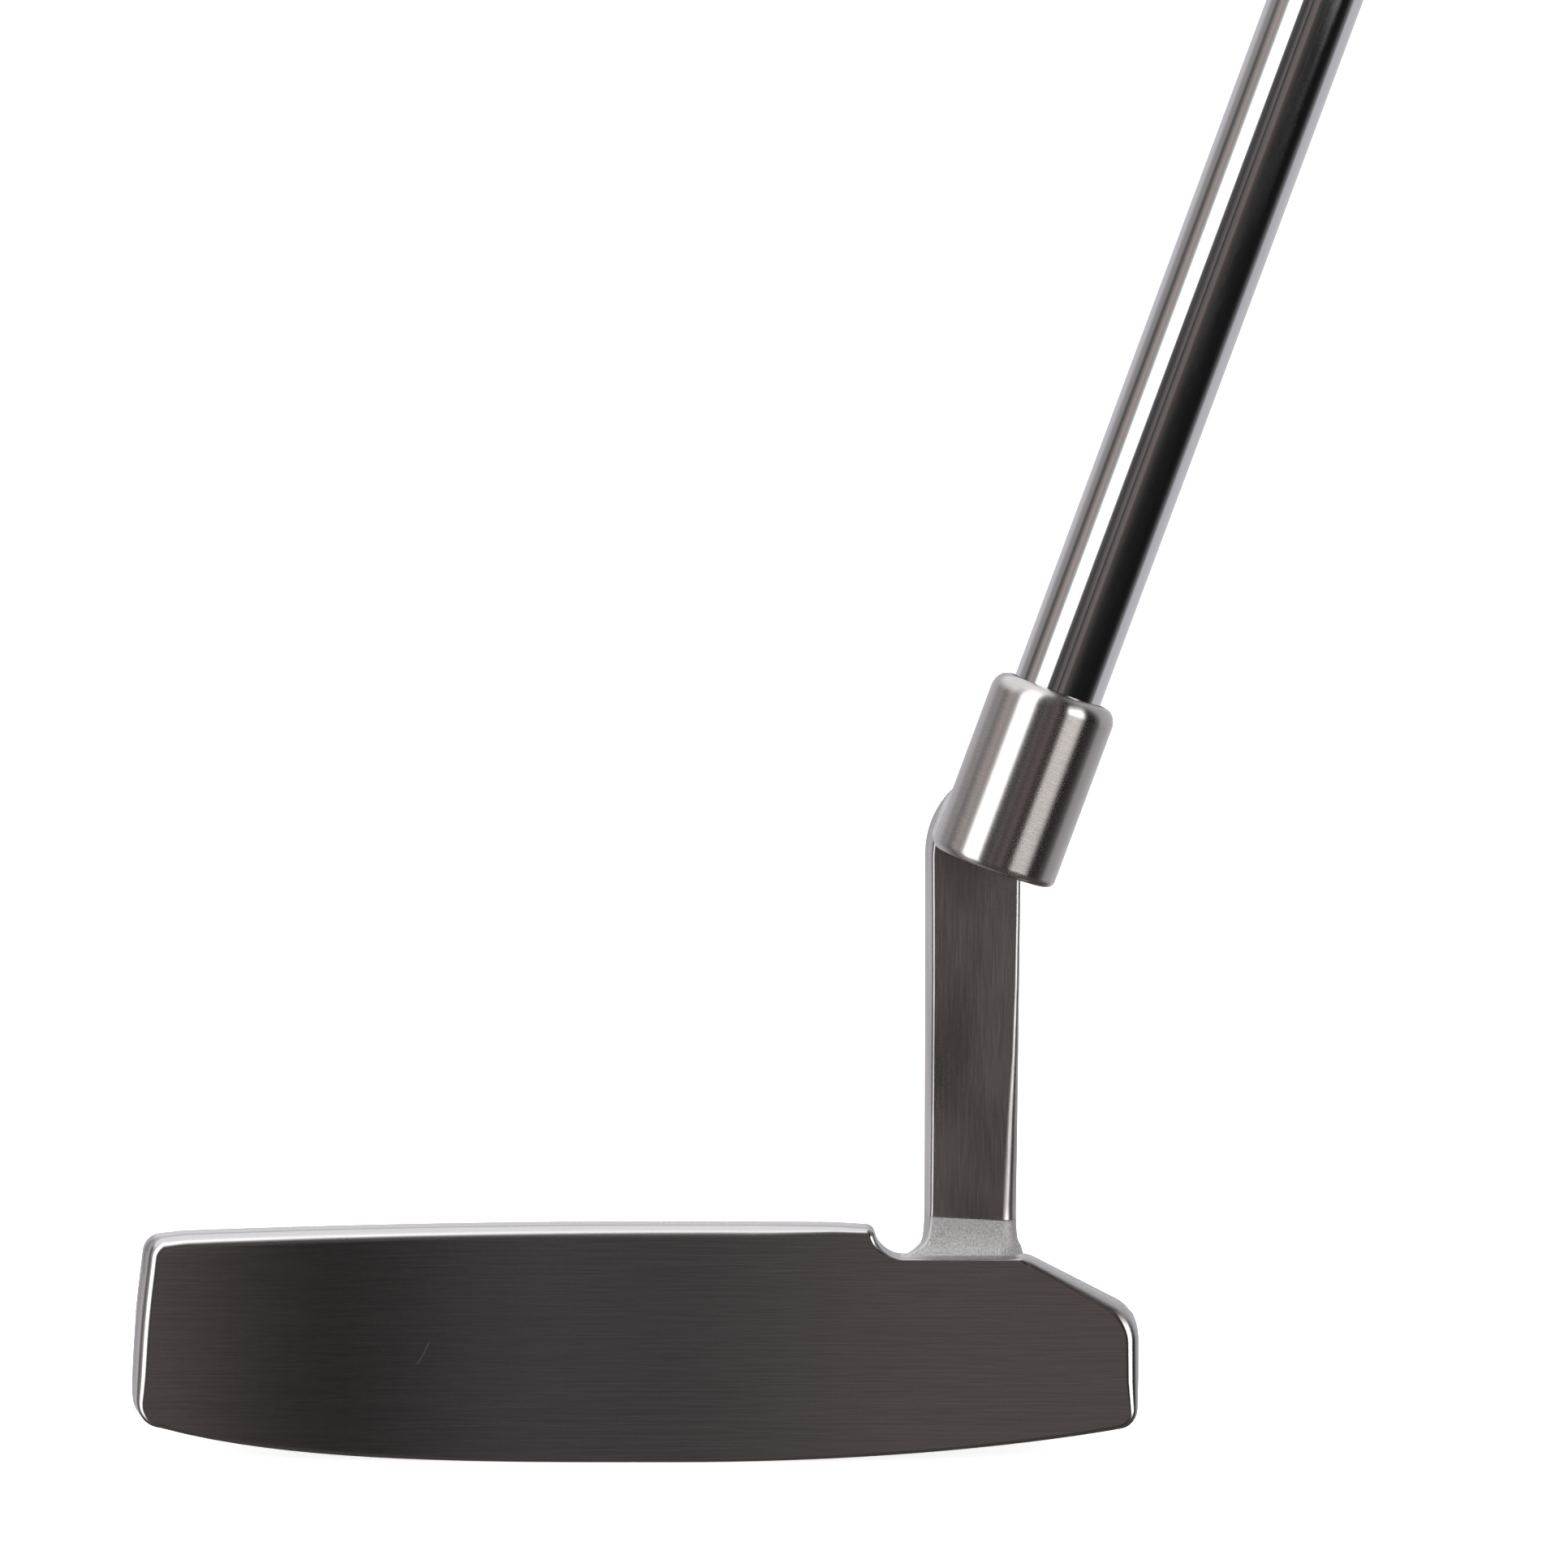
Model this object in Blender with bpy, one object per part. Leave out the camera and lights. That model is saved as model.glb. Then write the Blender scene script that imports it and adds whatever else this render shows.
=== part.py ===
"""Right-handed blade putter, complete club, one object for each physical piece.

Metres, +Z up. The face looks along -Y, the toe is at -X and the heel, where
the player stands, is at +X. The world origin is the point where the sole
touches the ground. Everything hangs from one empty at the leading edge, so
that a depth below is a distance behind the bottom of the face.
"""

import math

import bmesh
import bpy
from mathutils import Matrix, Vector

MM = 0.001

# Whole club
CONTACT_DEPTH = 10.0 * MM  # ground contact, behind the leading edge
SHAFT_LEAN = math.radians(20.3)  # from the vertical, so the lie is 69.7 degrees
SHAFT_FOOT = Vector((14.4, -2.6, 0.0)) * MM  # where the shaft axis meets the ground
ROUND_STEPS = 32  # facets round every turned piece
CUT_PAST = 5.0 * MM  # how far a cutter runs past what it cuts
CUT_WIDE = 10.0 * MM  # the same at the ends of the head and above it

# Head blank
FACE_LOFT = math.radians(3.5)
TOE_REACH = 56.7 * MM  # from the middle of the head to the widest point of the toe
HEEL_REACH = 55.8 * MM
FACE_TOP = 25.8 * MM
TOE_TOP = 24.6 * MM
CROWN_END = 25.2 * MM  # where the top line starts down to the neck ledge
LEDGE_START = 29.2 * MM
LEDGE_END = 43.0 * MM
LEDGE_HEIGHT = 22.2 * MM
HEEL_SHOULDER = 16.4 * MM
SIDE_FOOT = 6.2 * MM
CORNER = 2.4 * MM
LEDGE_RISE = ((1.6, 0.1), (-0.3, 0.5))  # from the start of the ledge: along, up
CROWN_DROP = ((1.7, -2.0), (1.0, -0.9), (0.0, -0.35))  # from the end of the top line
CROWN_PEAK = 5.0 * MM  # the highest point of the top line, heelwards of the middle
CROWN_STEPS = 8
TOE_LEAN = 1.3 * MM  # how far the top of the toe stands in from its widest point
SOLE_FLAT_HALF = 4.0 * MM
SOLE_STEPS = 8
FACE_EDGE_ROUND = 0.9 * MM
HEAD_DEPTH = 27.0 * MM
HEAD_SECTIONS = (
    # depth, toe reach, heel reach, lift of the sole
    (0.0, 0.957, 0.971, 0.0),
    (4.0, 0.982, 0.984, 0.0),
    (9.0, 1.0, 0.997, 0.0),
    (14.0, 1.003, 1.0, 0.0),
    (19.0, 0.985, 0.984, 0.3),
    (23.0, 0.935, 0.935, 0.9),
    (25.6, 0.865, 0.865, 1.8),
    (27.0, 0.79, 0.79, 3.0),
)

# Back of the head
TOP_LINE_WIDTH = 6.6 * MM
BLADE_TAPER = 0.6 * MM  # how much thicker the blade is below its top line
TOP_LINE_DEPTH = 3.0 * MM
BUMPER_HEIGHT = 15.5 * MM  # where a weight meets the back of the blade
BUMPER_FILLET = (1.2 * MM, 1.0 * MM)  # along, up
BUMPER_FALL = 1.0 * MM  # further fall of the weights by the end of their cutter
BUMPER_BACK_HEIGHT = 9.5 * MM
CAVITY_HALF = 32.5 * MM
CAVITY_ROUND = 4.0 * MM
FLANGE_HEIGHT = 6.8 * MM
FLANGE_BACK_HEIGHT = 5.4 * MM
FLANGE_LEVEL = 5.0 * MM  # level run of the flange before it starts to fall
FLANGE_CUT_LIFT = 0.2 * MM
FLANGE_CUT_INSET = 0.7 * MM
SIGHT_LINE_WIDTH = 1.8 * MM
SIGHT_LINE_DEPTH = 0.9 * MM
SIGHT_LINE_START = 8.6 * MM
SIGHT_LINE_END = 24.4 * MM
FILL_GAP = 0.1 * MM
FILL_SINK = 0.25 * MM  # the enamel lies this far below the flange

# Neck and hosel, in one casting with the head
NECK_TOE_SIDE = 31.9 * MM
NECK_HEEL_SIDE = 42.4 * MM
NECK_FRONT = 5.2 * MM
NECK_BACK = 13.4 * MM
NECK_FOOT = 10.0 * MM
NECK_BEND_START = 66.8 * MM
NECK_BEND_RADIUS = 12.0 * MM
NECK_LEAN_START = 62.5 * MM
NECK_ELBOW_ROUND = 5.0 * MM
NECK_ELBOW_DROP = 1.5 * MM  # from the top of the bend to the top of the elbow
NECK_END = 8.4 * MM  # across the end of the bend, inside the hosel
NECK_BASE_FLARE = 2.0 * MM
NECK_BASE_HEEL_FLARE = 0.6 * MM
NECK_BASE_TOP = 26.0 * MM
HOSEL_RADIUS = 7.0 * MM
HOSEL_BOTTOM = 69.7 * MM  # along the shaft axis, from the ground
HOSEL_TOP = 90.5 * MM
HOSEL_RIM_ROUND = 1.4 * MM
BRIDGE_HALF = 4.2 * MM
BRIDGE_LENGTH = 9.0 * MM
BRIDGE_LIFT = 0.8 * MM
BRIDGE_OVERLAP = 3.0 * MM
BRIDGE_CORNER = 1.2 * MM
BORE_RADIUS = 5.5 * MM
BORE_BOTTOM = 71.6 * MM

# Shaft and what bonds it
TIP_RADIUS = 4.93 * MM
BUTT_RADIUS = 7.4 * MM
SHAFT_TIP = 72.2 * MM
SHAFT_BUTT = 858.0 * MM
FIRST_STEP = 330.0 * MM
LAST_STEP = 574.0 * MM
STEP_COUNT = 9
STEP_CHAMFER = 1.2 * MM
TIP_WALL = 0.75 * MM
BUTT_WALL = 0.6 * MM
BOND_INNER = 5.05 * MM
BOND_OUTER = 5.38 * MM
BOND_TOP = 89.9 * MM
PLUG_RADIUS = 3.85 * MM
PLUG_BOTTOM = 74.0 * MM
PLUG_TOP = 84.0 * MM
PLUG_RIM = 0.5 * MM

# Grip
GRIP_BOTTOM = 604.0 * MM
GRIP_TOP = 860.4 * MM
TAPE_INNER = 7.52 * MM
TAPE_OUTER = 7.72 * MM
TAPE_BOTTOM = 606.0 * MM
TAPE_TOP = 856.0 * MM
GRIP_BORE = 7.9 * MM
GRIP_SECTIONS = (
    # along the grip, half width, flat in front of the axis, back behind it
    (0.0, 9.6, 9.4, 9.8),
    (0.012, 10.2, 9.9, 10.4),
    (0.25, 11.2, 10.7, 12.4),
    (0.55, 12.2, 11.4, 14.6),
    (0.8, 12.9, 12.0, 17.2),
    (0.94, 13.2, 12.3, 19.2),
    (0.985, 13.1, 12.2, 19.4),
    (1.0, 12.5, 11.7, 18.8),
)
GRIP_POINTS = 28
GRIP_FLAT_SHARE = 0.6  # of the full width
CAP_GAP = 0.3 * MM
CAP_THICKNESS = 3.3 * MM
CAP_EDGE = 0.9 * MM
VENT_RADIUS = 1.6 * MM


def clear_scene():
    for obj in list(bpy.data.objects):
        bpy.data.objects.remove(obj, do_unlink=True)


def finish_material(name, color, roughness, metallic):
    material = bpy.data.materials.new(name)
    material.use_nodes = True
    shader = material.node_tree.nodes["Principled BSDF"]
    shader.inputs["Base Color"].default_value = (*color, 1.0)
    shader.inputs["Roughness"].default_value = roughness
    shader.inputs["Metallic"].default_value = metallic
    return material


def add_object(name, bm, parent, material=None, smooth=True):
    """Turn a bmesh into a named object below parent."""
    bmesh.ops.recalc_face_normals(bm, faces=bm.faces)
    mesh = bpy.data.meshes.new(name)
    bm.to_mesh(mesh)
    bm.free()
    obj = bpy.data.objects.new(name, mesh)
    bpy.context.collection.objects.link(obj)
    obj.parent = parent
    if material:
        mesh.materials.append(material)
    if smooth:
        mesh.shade_smooth()
        mesh.set_sharp_from_angle(angle=math.radians(32))
    return obj


def add_empty(name, location, parent=None, lean=0.0):
    empty = bpy.data.objects.new(name, None)
    bpy.context.collection.objects.link(empty)
    empty.location = location
    empty.rotation_euler = (0.0, lean, 0.0)
    empty.parent = parent
    return empty


def boolean(target, tool, operation):
    """Join or cut target with tool, which becomes a hidden helper."""
    tool.hide_render = True
    tool.display_type = "WIRE"
    modifier = target.modifiers.new(tool.name, "BOOLEAN")
    modifier.operation = operation
    modifier.object = tool


def arc(center_x, center_z, radius, start, end, steps):
    """Points on an arc in a vertical plane, angles in degrees from +X."""
    points = []
    for step in range(steps + 1):
        angle = math.radians(start + (end - start) * step / steps)
        points.append((center_x + radius * math.cos(angle), center_z + radius * math.sin(angle)))
    return points


def sole_height(x):
    """Camber of the sole from heel to toe, flat at the contact point."""
    reach = max(abs(x) - SOLE_FLAT_HALF, 0.0) / MM
    return (0.00064 * reach**2 + 3.6e-7 * reach**4) * MM


def sole_run(end):
    """Points along the sole from the edge of its flat to end, on either side."""
    start = math.copysign(SOLE_FLAT_HALF, end)
    return [start + (end - start) * step / SOLE_STEPS for step in range(SOLE_STEPS + 1)]


def head_outline():
    """The head seen from the front, anticlockwise from the toe end of the sole."""
    run = list(reversed(sole_run(CORNER - TOE_REACH))) + sole_run(HEEL_REACH - CORNER)
    points = [(x, sole_height(x)) for x in run]
    points += arc(HEEL_REACH - CORNER, SIDE_FOOT, CORNER, -55, 0, 3)
    slope = math.degrees(math.atan2(LEDGE_HEIGHT - HEEL_SHOULDER, HEEL_REACH - CORNER - LEDGE_END))
    points += arc(HEEL_REACH - CORNER, HEEL_SHOULDER - CORNER, CORNER, 0, 90 - slope, 4)
    points.append((LEDGE_END, LEDGE_HEIGHT))
    points += [(LEDGE_START + x * MM, LEDGE_HEIGHT + z * MM) for x, z in LEDGE_RISE]
    points += [(CROWN_END + x * MM, FACE_TOP + z * MM) for x, z in CROWN_DROP]
    for step in range(1, CROWN_STEPS + 1):
        x = CROWN_END - (CROWN_END + TOE_REACH - 2.2 * CORNER) * step / CROWN_STEPS
        fall = (x - CROWN_PEAK) / (TOE_REACH - CROWN_PEAK)
        points.append((x, FACE_TOP - (FACE_TOP - TOE_TOP) * fall * fall))
    points += arc(-TOE_REACH + CORNER + TOE_LEAN, TOE_TOP - CORNER - 0.2 * MM, CORNER, 90, 165, 4)
    points.append((-TOE_REACH, 2.0 * SIDE_FOOT))
    points += arc(-TOE_REACH + CORNER, SIDE_FOOT, CORNER, 180, 235, 3)
    return points


def head_blank(parent):
    """The head before its back is cut, lofted through its sections from face to flange."""
    bm = bmesh.new()
    outline = head_outline()
    rings = []
    for depth, toe, heel, lift in HEAD_SECTIONS:
        ring = []
        for x, z in outline:
            reach = toe if x < 0.0 else heel
            raised = z + lift * MM * (1.0 - z / FACE_TOP)
            lean_back = z * math.tan(FACE_LOFT) if depth == 0.0 else 0.0
            ring.append(bm.verts.new((x * reach, depth * MM + lean_back, raised)))
        rings.append(ring)
    count = len(outline)
    for near, far in zip(rings, rings[1:]):
        for step in range(count):
            after = (step + 1) % count
            bm.faces.new((near[step], near[after], far[after], far[step]))
    bm.faces.new(reversed(rings[0]))
    bm.faces.new(rings[-1])
    front = set(rings[0])
    edges = [edge for edge in bm.edges if front.issuperset(edge.verts)]
    bmesh.ops.bevel(
        bm, geom=edges, affect="EDGES", offset=FACE_EDGE_ROUND, segments=2, profile=0.5, material=-1
    )
    return add_object("head_casting", bm, parent, STEEL)


def prism(name, points, low, high, parent, axis="X"):
    """A closed outline pushed along X or Y from low to high."""
    bm = bmesh.new()
    if axis == "X":
        verts = [bm.verts.new((low, y, z)) for y, z in points]
        push = Vector((high - low, 0.0, 0.0))
    else:
        verts = [bm.verts.new((x, low, z)) for x, z in points]
        push = Vector((0.0, high - low, 0.0))
    face = bm.faces.new(verts)
    grown = bmesh.ops.extrude_face_region(bm, geom=[face])
    moved = [item for item in grown["geom"] if isinstance(item, bmesh.types.BMVert)]
    bmesh.ops.translate(bm, verts=moved, vec=push)
    return add_object(name, bm, parent)


def block(name, low, high, parent, corner=0.0):
    """A box between two corners, its upright edges rounded by corner."""
    bm = bmesh.new()
    bmesh.ops.create_cube(bm, size=1.0)
    low = Vector(low)
    high = Vector(high)
    size = high - low
    bmesh.ops.scale(bm, verts=bm.verts, vec=size)
    bmesh.ops.translate(bm, verts=bm.verts, vec=(low + high) / 2.0)
    if corner:
        upright = [edge for edge in bm.edges if abs(edge.verts[0].co.z - edge.verts[1].co.z) > 1e-6]
        bmesh.ops.bevel(
            bm, geom=upright, affect="EDGES", offset=corner, segments=4, profile=0.5, material=-1
        )
    return add_object(name, bm, parent)


def turned(name, profile, parent, material=None):
    """A closed (radius, height) profile turned round the parent's Z axis."""
    bm = bmesh.new()
    rings = []
    for step in range(ROUND_STEPS):
        turn = 2.0 * math.pi * step / ROUND_STEPS
        rings.append([
            bm.verts.new((radius * math.cos(turn), radius * math.sin(turn), height))
            for radius, height in profile
        ])
    count = len(profile)
    for step in range(ROUND_STEPS):
        near = rings[step]
        far = rings[(step + 1) % ROUND_STEPS]
        for place in range(count):
            after = (place + 1) % count
            bm.faces.new((near[place], far[place], far[after], near[after]))
    bmesh.ops.remove_doubles(bm, verts=bm.verts, dist=1e-6)
    return add_object(name, bm, parent, material)


def rod(name, radius, low, high, parent, material=None, rim=0.0):
    """A solid round bar along the parent's Z axis, its rims chamfered by rim."""
    bm = bmesh.new()
    bmesh.ops.create_cone(
        bm,
        cap_ends=True,
        cap_tris=False,
        segments=ROUND_STEPS,
        radius1=radius,
        radius2=radius,
        depth=high - low,
        matrix=Matrix.Translation((0.0, 0.0, (low + high) / 2.0)),
    )
    if rim:
        edges = [edge for edge in bm.edges if abs(edge.verts[0].co.z - edge.verts[1].co.z) < 1e-7]
        bmesh.ops.bevel(
            bm, geom=edges, affect="EDGES", offset=rim, segments=2, profile=0.5, material=-1
        )
    return add_object(name, bm, parent, material)


def cut_back(head, parent):
    """Open the back: the blade above the weights, then the cavity between them."""
    far = HEAD_DEPTH + CUT_PAST
    above = FACE_TOP + CUT_WIDE
    blade_back = TOP_LINE_WIDTH + BLADE_TAPER
    upper = [
        (TOP_LINE_WIDTH, above),
        (TOP_LINE_WIDTH, FACE_TOP - TOP_LINE_DEPTH),
        (blade_back, BUMPER_HEIGHT + BUMPER_FILLET[1]),
        (blade_back + BUMPER_FILLET[0], BUMPER_HEIGHT),
        (far, BUMPER_BACK_HEIGHT - BUMPER_FALL),
        (far, above),
    ]
    wide = TOE_REACH + CUT_WIDE
    boolean(head, prism("blade_back_cut", upper, -wide, wide, parent), "DIFFERENCE")
    cavity = block(
        "cavity_cut",
        (-CAVITY_HALF, blade_back, FLANGE_HEIGHT),
        (CAVITY_HALF, far + CAVITY_ROUND, above),
        parent,
        CAVITY_ROUND,
    )
    boolean(head, cavity, "DIFFERENCE")
    flange = [
        (blade_back + FLANGE_LEVEL, FLANGE_HEIGHT + FLANGE_CUT_LIFT),
        (far, FLANGE_BACK_HEIGHT),
        (far, above),
        (blade_back + FLANGE_LEVEL, above),
    ]
    inside = CAVITY_HALF - FLANGE_CUT_INSET
    boolean(head, prism("flange_slope_cut", flange, -inside, inside, parent), "DIFFERENCE")


def neck_outline():
    """The neck seen from the front: a straight bar that bends over to follow the shaft."""
    bend = arc(NECK_TOE_SIDE + NECK_BEND_RADIUS, NECK_BEND_START, NECK_BEND_RADIUS, 180, 118, 7)
    end_x = bend[-1][0] + NECK_END * math.cos(SHAFT_LEAN)
    end_z = bend[-1][1] - NECK_END * math.sin(SHAFT_LEAN)
    points = [(NECK_TOE_SIDE, NECK_FOOT)]
    points += bend
    points.append((end_x, end_z))
    points.append((NECK_HEEL_SIDE, NECK_LEAN_START))
    points.append((NECK_HEEL_SIDE, NECK_FOOT))
    return points


def neck_side():
    """The neck seen from the heel: a bar whose back rounds over at the elbow."""
    top = NECK_BEND_START + NECK_BEND_RADIUS - NECK_ELBOW_DROP
    round_y = NECK_BACK - NECK_ELBOW_ROUND
    round_z = top - NECK_ELBOW_ROUND
    points = [(NECK_FRONT, NECK_FOOT - 1.0 * MM), (NECK_BACK, NECK_FOOT - 1.0 * MM)]
    points += arc(round_y, round_z, NECK_ELBOW_ROUND, 0, 90, 5)
    points.append((NECK_FRONT, top))
    return points


def neck_base(parent):
    """The flare where the neck runs out into the head, down to the heel weight."""
    bm = bmesh.new()
    levels = (
        (NECK_FOOT + 2.0 * MM, 1.0),
        (LEDGE_HEIGHT - 1.0 * MM, 1.0),
        (LEDGE_HEIGHT + 1.0 * MM, 0.45),
        (NECK_BASE_TOP, -0.02),
    )
    rings = []
    for height, flare in levels:
        toe = NECK_TOE_SIDE - NECK_BASE_FLARE * flare
        heel = NECK_HEEL_SIDE + NECK_BASE_HEEL_FLARE * flare
        front = NECK_FRONT - NECK_BASE_HEEL_FLARE * flare
        back = NECK_BACK + NECK_BASE_FLARE * flare
        corners = ((toe, front), (heel, front), (heel, back), (toe, back))
        rings.append([bm.verts.new((x, y, height)) for x, y in corners])
    for low, high in zip(rings, rings[1:]):
        for step in range(4):
            after = (step + 1) % 4
            bm.faces.new((low[step], low[after], high[after], high[step]))
    bm.faces.new(reversed(rings[0]))
    bm.faces.new(rings[-1])
    return add_object("neck_base", bm, parent)


def add_neck(head, datum, axis):
    """Grow the neck, its bridge and the hosel out of the head, then bore the hosel."""
    neck = prism("neck_bar", neck_outline(), NECK_FRONT - 1.0 * MM, NECK_BACK + 1.0 * MM, datum, "Y")
    wide = TOE_REACH + CUT_WIDE
    boolean(neck, prism("neck_side", neck_side(), -wide, wide, datum), "INTERSECT")
    boolean(head, neck, "UNION")
    boolean(head, neck_base(datum), "UNION")
    bridge_bottom = HOSEL_BOTTOM + BRIDGE_LIFT
    reach = NECK_FRONT - SHAFT_FOOT.y + BRIDGE_OVERLAP
    bridge = block(
        "neck_bridge",
        (-BRIDGE_HALF, 0.0, bridge_bottom),
        (BRIDGE_HALF, reach, bridge_bottom + BRIDGE_LENGTH),
        axis,
        BRIDGE_CORNER,
    )
    boolean(head, bridge, "UNION")
    hosel = rod("hosel_blank", HOSEL_RADIUS, HOSEL_BOTTOM, HOSEL_TOP, axis, rim=HOSEL_RIM_ROUND)
    boolean(head, hosel, "UNION")
    bore = rod("hosel_bore", BORE_RADIUS, BORE_BOTTOM, HOSEL_TOP + CUT_PAST, axis)
    boolean(head, bore, "DIFFERENCE")


def add_sight_line(head, parent):
    """Cut the alignment groove in the flange, and fill it with enamel."""
    half = SIGHT_LINE_WIDTH / 2.0

    def flange_at(depth):
        start = TOP_LINE_WIDTH + BLADE_TAPER + FLANGE_LEVEL
        end = HEAD_DEPTH + CUT_PAST
        run = max(depth - start, 0.0) / (end - start)
        return FLANGE_HEIGHT - (FLANGE_HEIGHT - FLANGE_BACK_HEIGHT) * run

    floor_start = flange_at(SIGHT_LINE_START) - SIGHT_LINE_DEPTH
    floor_end = flange_at(SIGHT_LINE_END) - SIGHT_LINE_DEPTH
    groove = [
        (SIGHT_LINE_START, floor_start),
        (SIGHT_LINE_END, floor_end),
        (SIGHT_LINE_END, FLANGE_HEIGHT + SIGHT_LINE_WIDTH),
        (SIGHT_LINE_START, FLANGE_HEIGHT + SIGHT_LINE_WIDTH),
    ]
    boolean(head, prism("sight_line_cut", groove, -half, half, parent), "DIFFERENCE")
    top = SIGHT_LINE_DEPTH - FILL_SINK
    fill = [
        (SIGHT_LINE_START + FILL_GAP, floor_start + FILL_GAP),
        (SIGHT_LINE_END - FILL_GAP, floor_end + FILL_GAP),
        (SIGHT_LINE_END - FILL_GAP, floor_end + top),
        (SIGHT_LINE_START + FILL_GAP, floor_start + top),
    ]
    infill = prism("sight_line_infill", fill, FILL_GAP - half, half - FILL_GAP, parent)
    infill.data.materials.append(ENAMEL)


def shaft_profile():
    """The stepped tube: outside from butt to tip, then the bore back up."""
    outside = [(BUTT_RADIUS, SHAFT_BUTT)]
    grow = (BUTT_RADIUS - TIP_RADIUS) / STEP_COUNT
    for step in reversed(range(STEP_COUNT)):
        height = FIRST_STEP + (LAST_STEP - FIRST_STEP) * step / (STEP_COUNT - 1)
        outside.append((TIP_RADIUS + grow * (step + 1), height + STEP_CHAMFER))
        outside.append((TIP_RADIUS + grow * step, height))
    outside.append((TIP_RADIUS, SHAFT_TIP))
    bore = [
        (TIP_RADIUS - TIP_WALL, SHAFT_TIP),
        (TIP_RADIUS - TIP_WALL, FIRST_STEP),
        (BUTT_RADIUS - BUTT_WALL - grow, LAST_STEP + STEP_CHAMFER),
        (BUTT_RADIUS - BUTT_WALL, SHAFT_BUTT),
    ]
    return outside + bore


def sleeve(name, inner, outer, low, high, parent, material):
    profile = [(outer, high), (outer, low), (inner, low), (inner, high)]
    return turned(name, profile, parent, material)


def grip_ring(half_width, flat, back):
    """One section of the grip: a flat for the thumbs at -X and a rounded back at +X."""
    front = flat / math.cos(math.asin(GRIP_FLAT_SHARE))
    corner = math.pi - math.asin(GRIP_FLAT_SHARE)
    points = []
    for step in range(GRIP_POINTS):
        turn = corner * (2.0 * step / (GRIP_POINTS - 1) - 1.0)
        deep = back if abs(turn) < math.pi / 2.0 else front
        points.append((deep * math.cos(turn), half_width * math.sin(turn)))
    return points


def grip_shell(axis):
    """The rubber sleeve, lofted through its sections and bored for the taped shaft."""
    bm = bmesh.new()
    rings = []
    for share, half_width, flat, back in GRIP_SECTIONS:
        height = GRIP_BOTTOM + (GRIP_TOP - GRIP_BOTTOM) * share
        ring = grip_ring(half_width * MM, flat * MM, back * MM)
        rings.append([bm.verts.new((x, y, height)) for x, y in ring])
    for near, far in zip(rings, rings[1:]):
        for step in range(GRIP_POINTS):
            after = (step + 1) % GRIP_POINTS
            bm.faces.new((near[step], near[after], far[after], far[step]))
    bm.faces.new(reversed(rings[0]))
    bm.faces.new(rings[-1])
    grip = add_object("grip_sleeve", bm, axis, RUBBER)
    bore = rod("grip_bore", GRIP_BORE, GRIP_BOTTOM - CUT_PAST, GRIP_TOP + CUT_PAST, axis)
    boolean(grip, bore, "DIFFERENCE")


def grip_cap(axis):
    """The moulded end cap, with the hole that vents air as the grip slides on."""
    bm = bmesh.new()
    half_width, flat, back = GRIP_SECTIONS[-1][1:]
    outline = grip_ring(half_width * MM, flat * MM, back * MM)
    bottom = GRIP_TOP + CAP_GAP
    levels = ((bottom, 1.0), (bottom + CAP_THICKNESS - CAP_EDGE, 1.0), (bottom + CAP_THICKNESS, 0.92))
    rings = []
    for height, size in levels:
        rings.append([bm.verts.new((x * size, y * size, height)) for x, y in outline])
    for near, far in zip(rings, rings[1:]):
        for step in range(GRIP_POINTS):
            after = (step + 1) % GRIP_POINTS
            bm.faces.new((near[step], near[after], far[after], far[step]))
    bm.faces.new(reversed(rings[0]))
    bm.faces.new(rings[-1])
    cap = add_object("grip_cap", bm, axis, CAP_RUBBER)
    vent = rod("vent_cut", VENT_RADIUS, bottom - CUT_PAST, bottom + CAP_THICKNESS + CUT_PAST, axis)
    boolean(cap, vent, "DIFFERENCE")


clear_scene()

STEEL = finish_material("satin_steel", (0.17, 0.165, 0.16), 0.34, 1.0)
CHROME = finish_material("chrome_plate", (0.62, 0.62, 0.64), 0.06, 1.0)
ENAMEL = finish_material("white_enamel", (0.8, 0.8, 0.78), 0.4, 0.0)
EPOXY = finish_material("epoxy", (0.24, 0.2, 0.14), 0.35, 0.0)
CORK = finish_material("plug_cork", (0.5, 0.36, 0.2), 0.8, 0.0)
TAPE = finish_material("paper_tape", (0.72, 0.66, 0.5), 0.8, 0.0)
RUBBER = finish_material("grip_rubber", (0.018, 0.018, 0.02), 0.75, 0.0)
CAP_RUBBER = finish_material("cap_rubber", (0.03, 0.03, 0.033), 0.65, 0.0)

leading_edge = add_empty("leading_edge", (0.0, -CONTACT_DEPTH, 0.0))
shaft_axis = add_empty("shaft_axis", SHAFT_FOOT, leading_edge, SHAFT_LEAN)

head_casting = head_blank(leading_edge)
cut_back(head_casting, leading_edge)
add_neck(head_casting, leading_edge, shaft_axis)
add_sight_line(head_casting, leading_edge)
turned("shaft", shaft_profile(), shaft_axis, CHROME)
sleeve("shaft_epoxy", BOND_INNER, BOND_OUTER, SHAFT_TIP, BOND_TOP, shaft_axis, EPOXY)
rod("tip_plug", PLUG_RADIUS, PLUG_BOTTOM, PLUG_TOP, shaft_axis, CORK, rim=PLUG_RIM)
sleeve("grip_tape", TAPE_INNER, TAPE_OUTER, TAPE_BOTTOM, TAPE_TOP, shaft_axis, TAPE)
grip_shell(shaft_axis)
grip_cap(shaft_axis)
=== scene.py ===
"""Blade putter, finished club: a cast and milled head, a plated stepped shaft and a moulded grip.

Metres, +Z up, face towards -Y, toe at -X and heel at +X. The ground contact point is the origin.
Each section makes one piece, in the order in which the club is put together. Its sizes are in
millimetres, from the leading edge for the head and the neck, and up the shaft for the rest.
"""

import math

import bmesh
import bpy
from bmesh.types import BMEdge, BMFace, BMVert
from mathutils import Matrix, Vector


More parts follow.
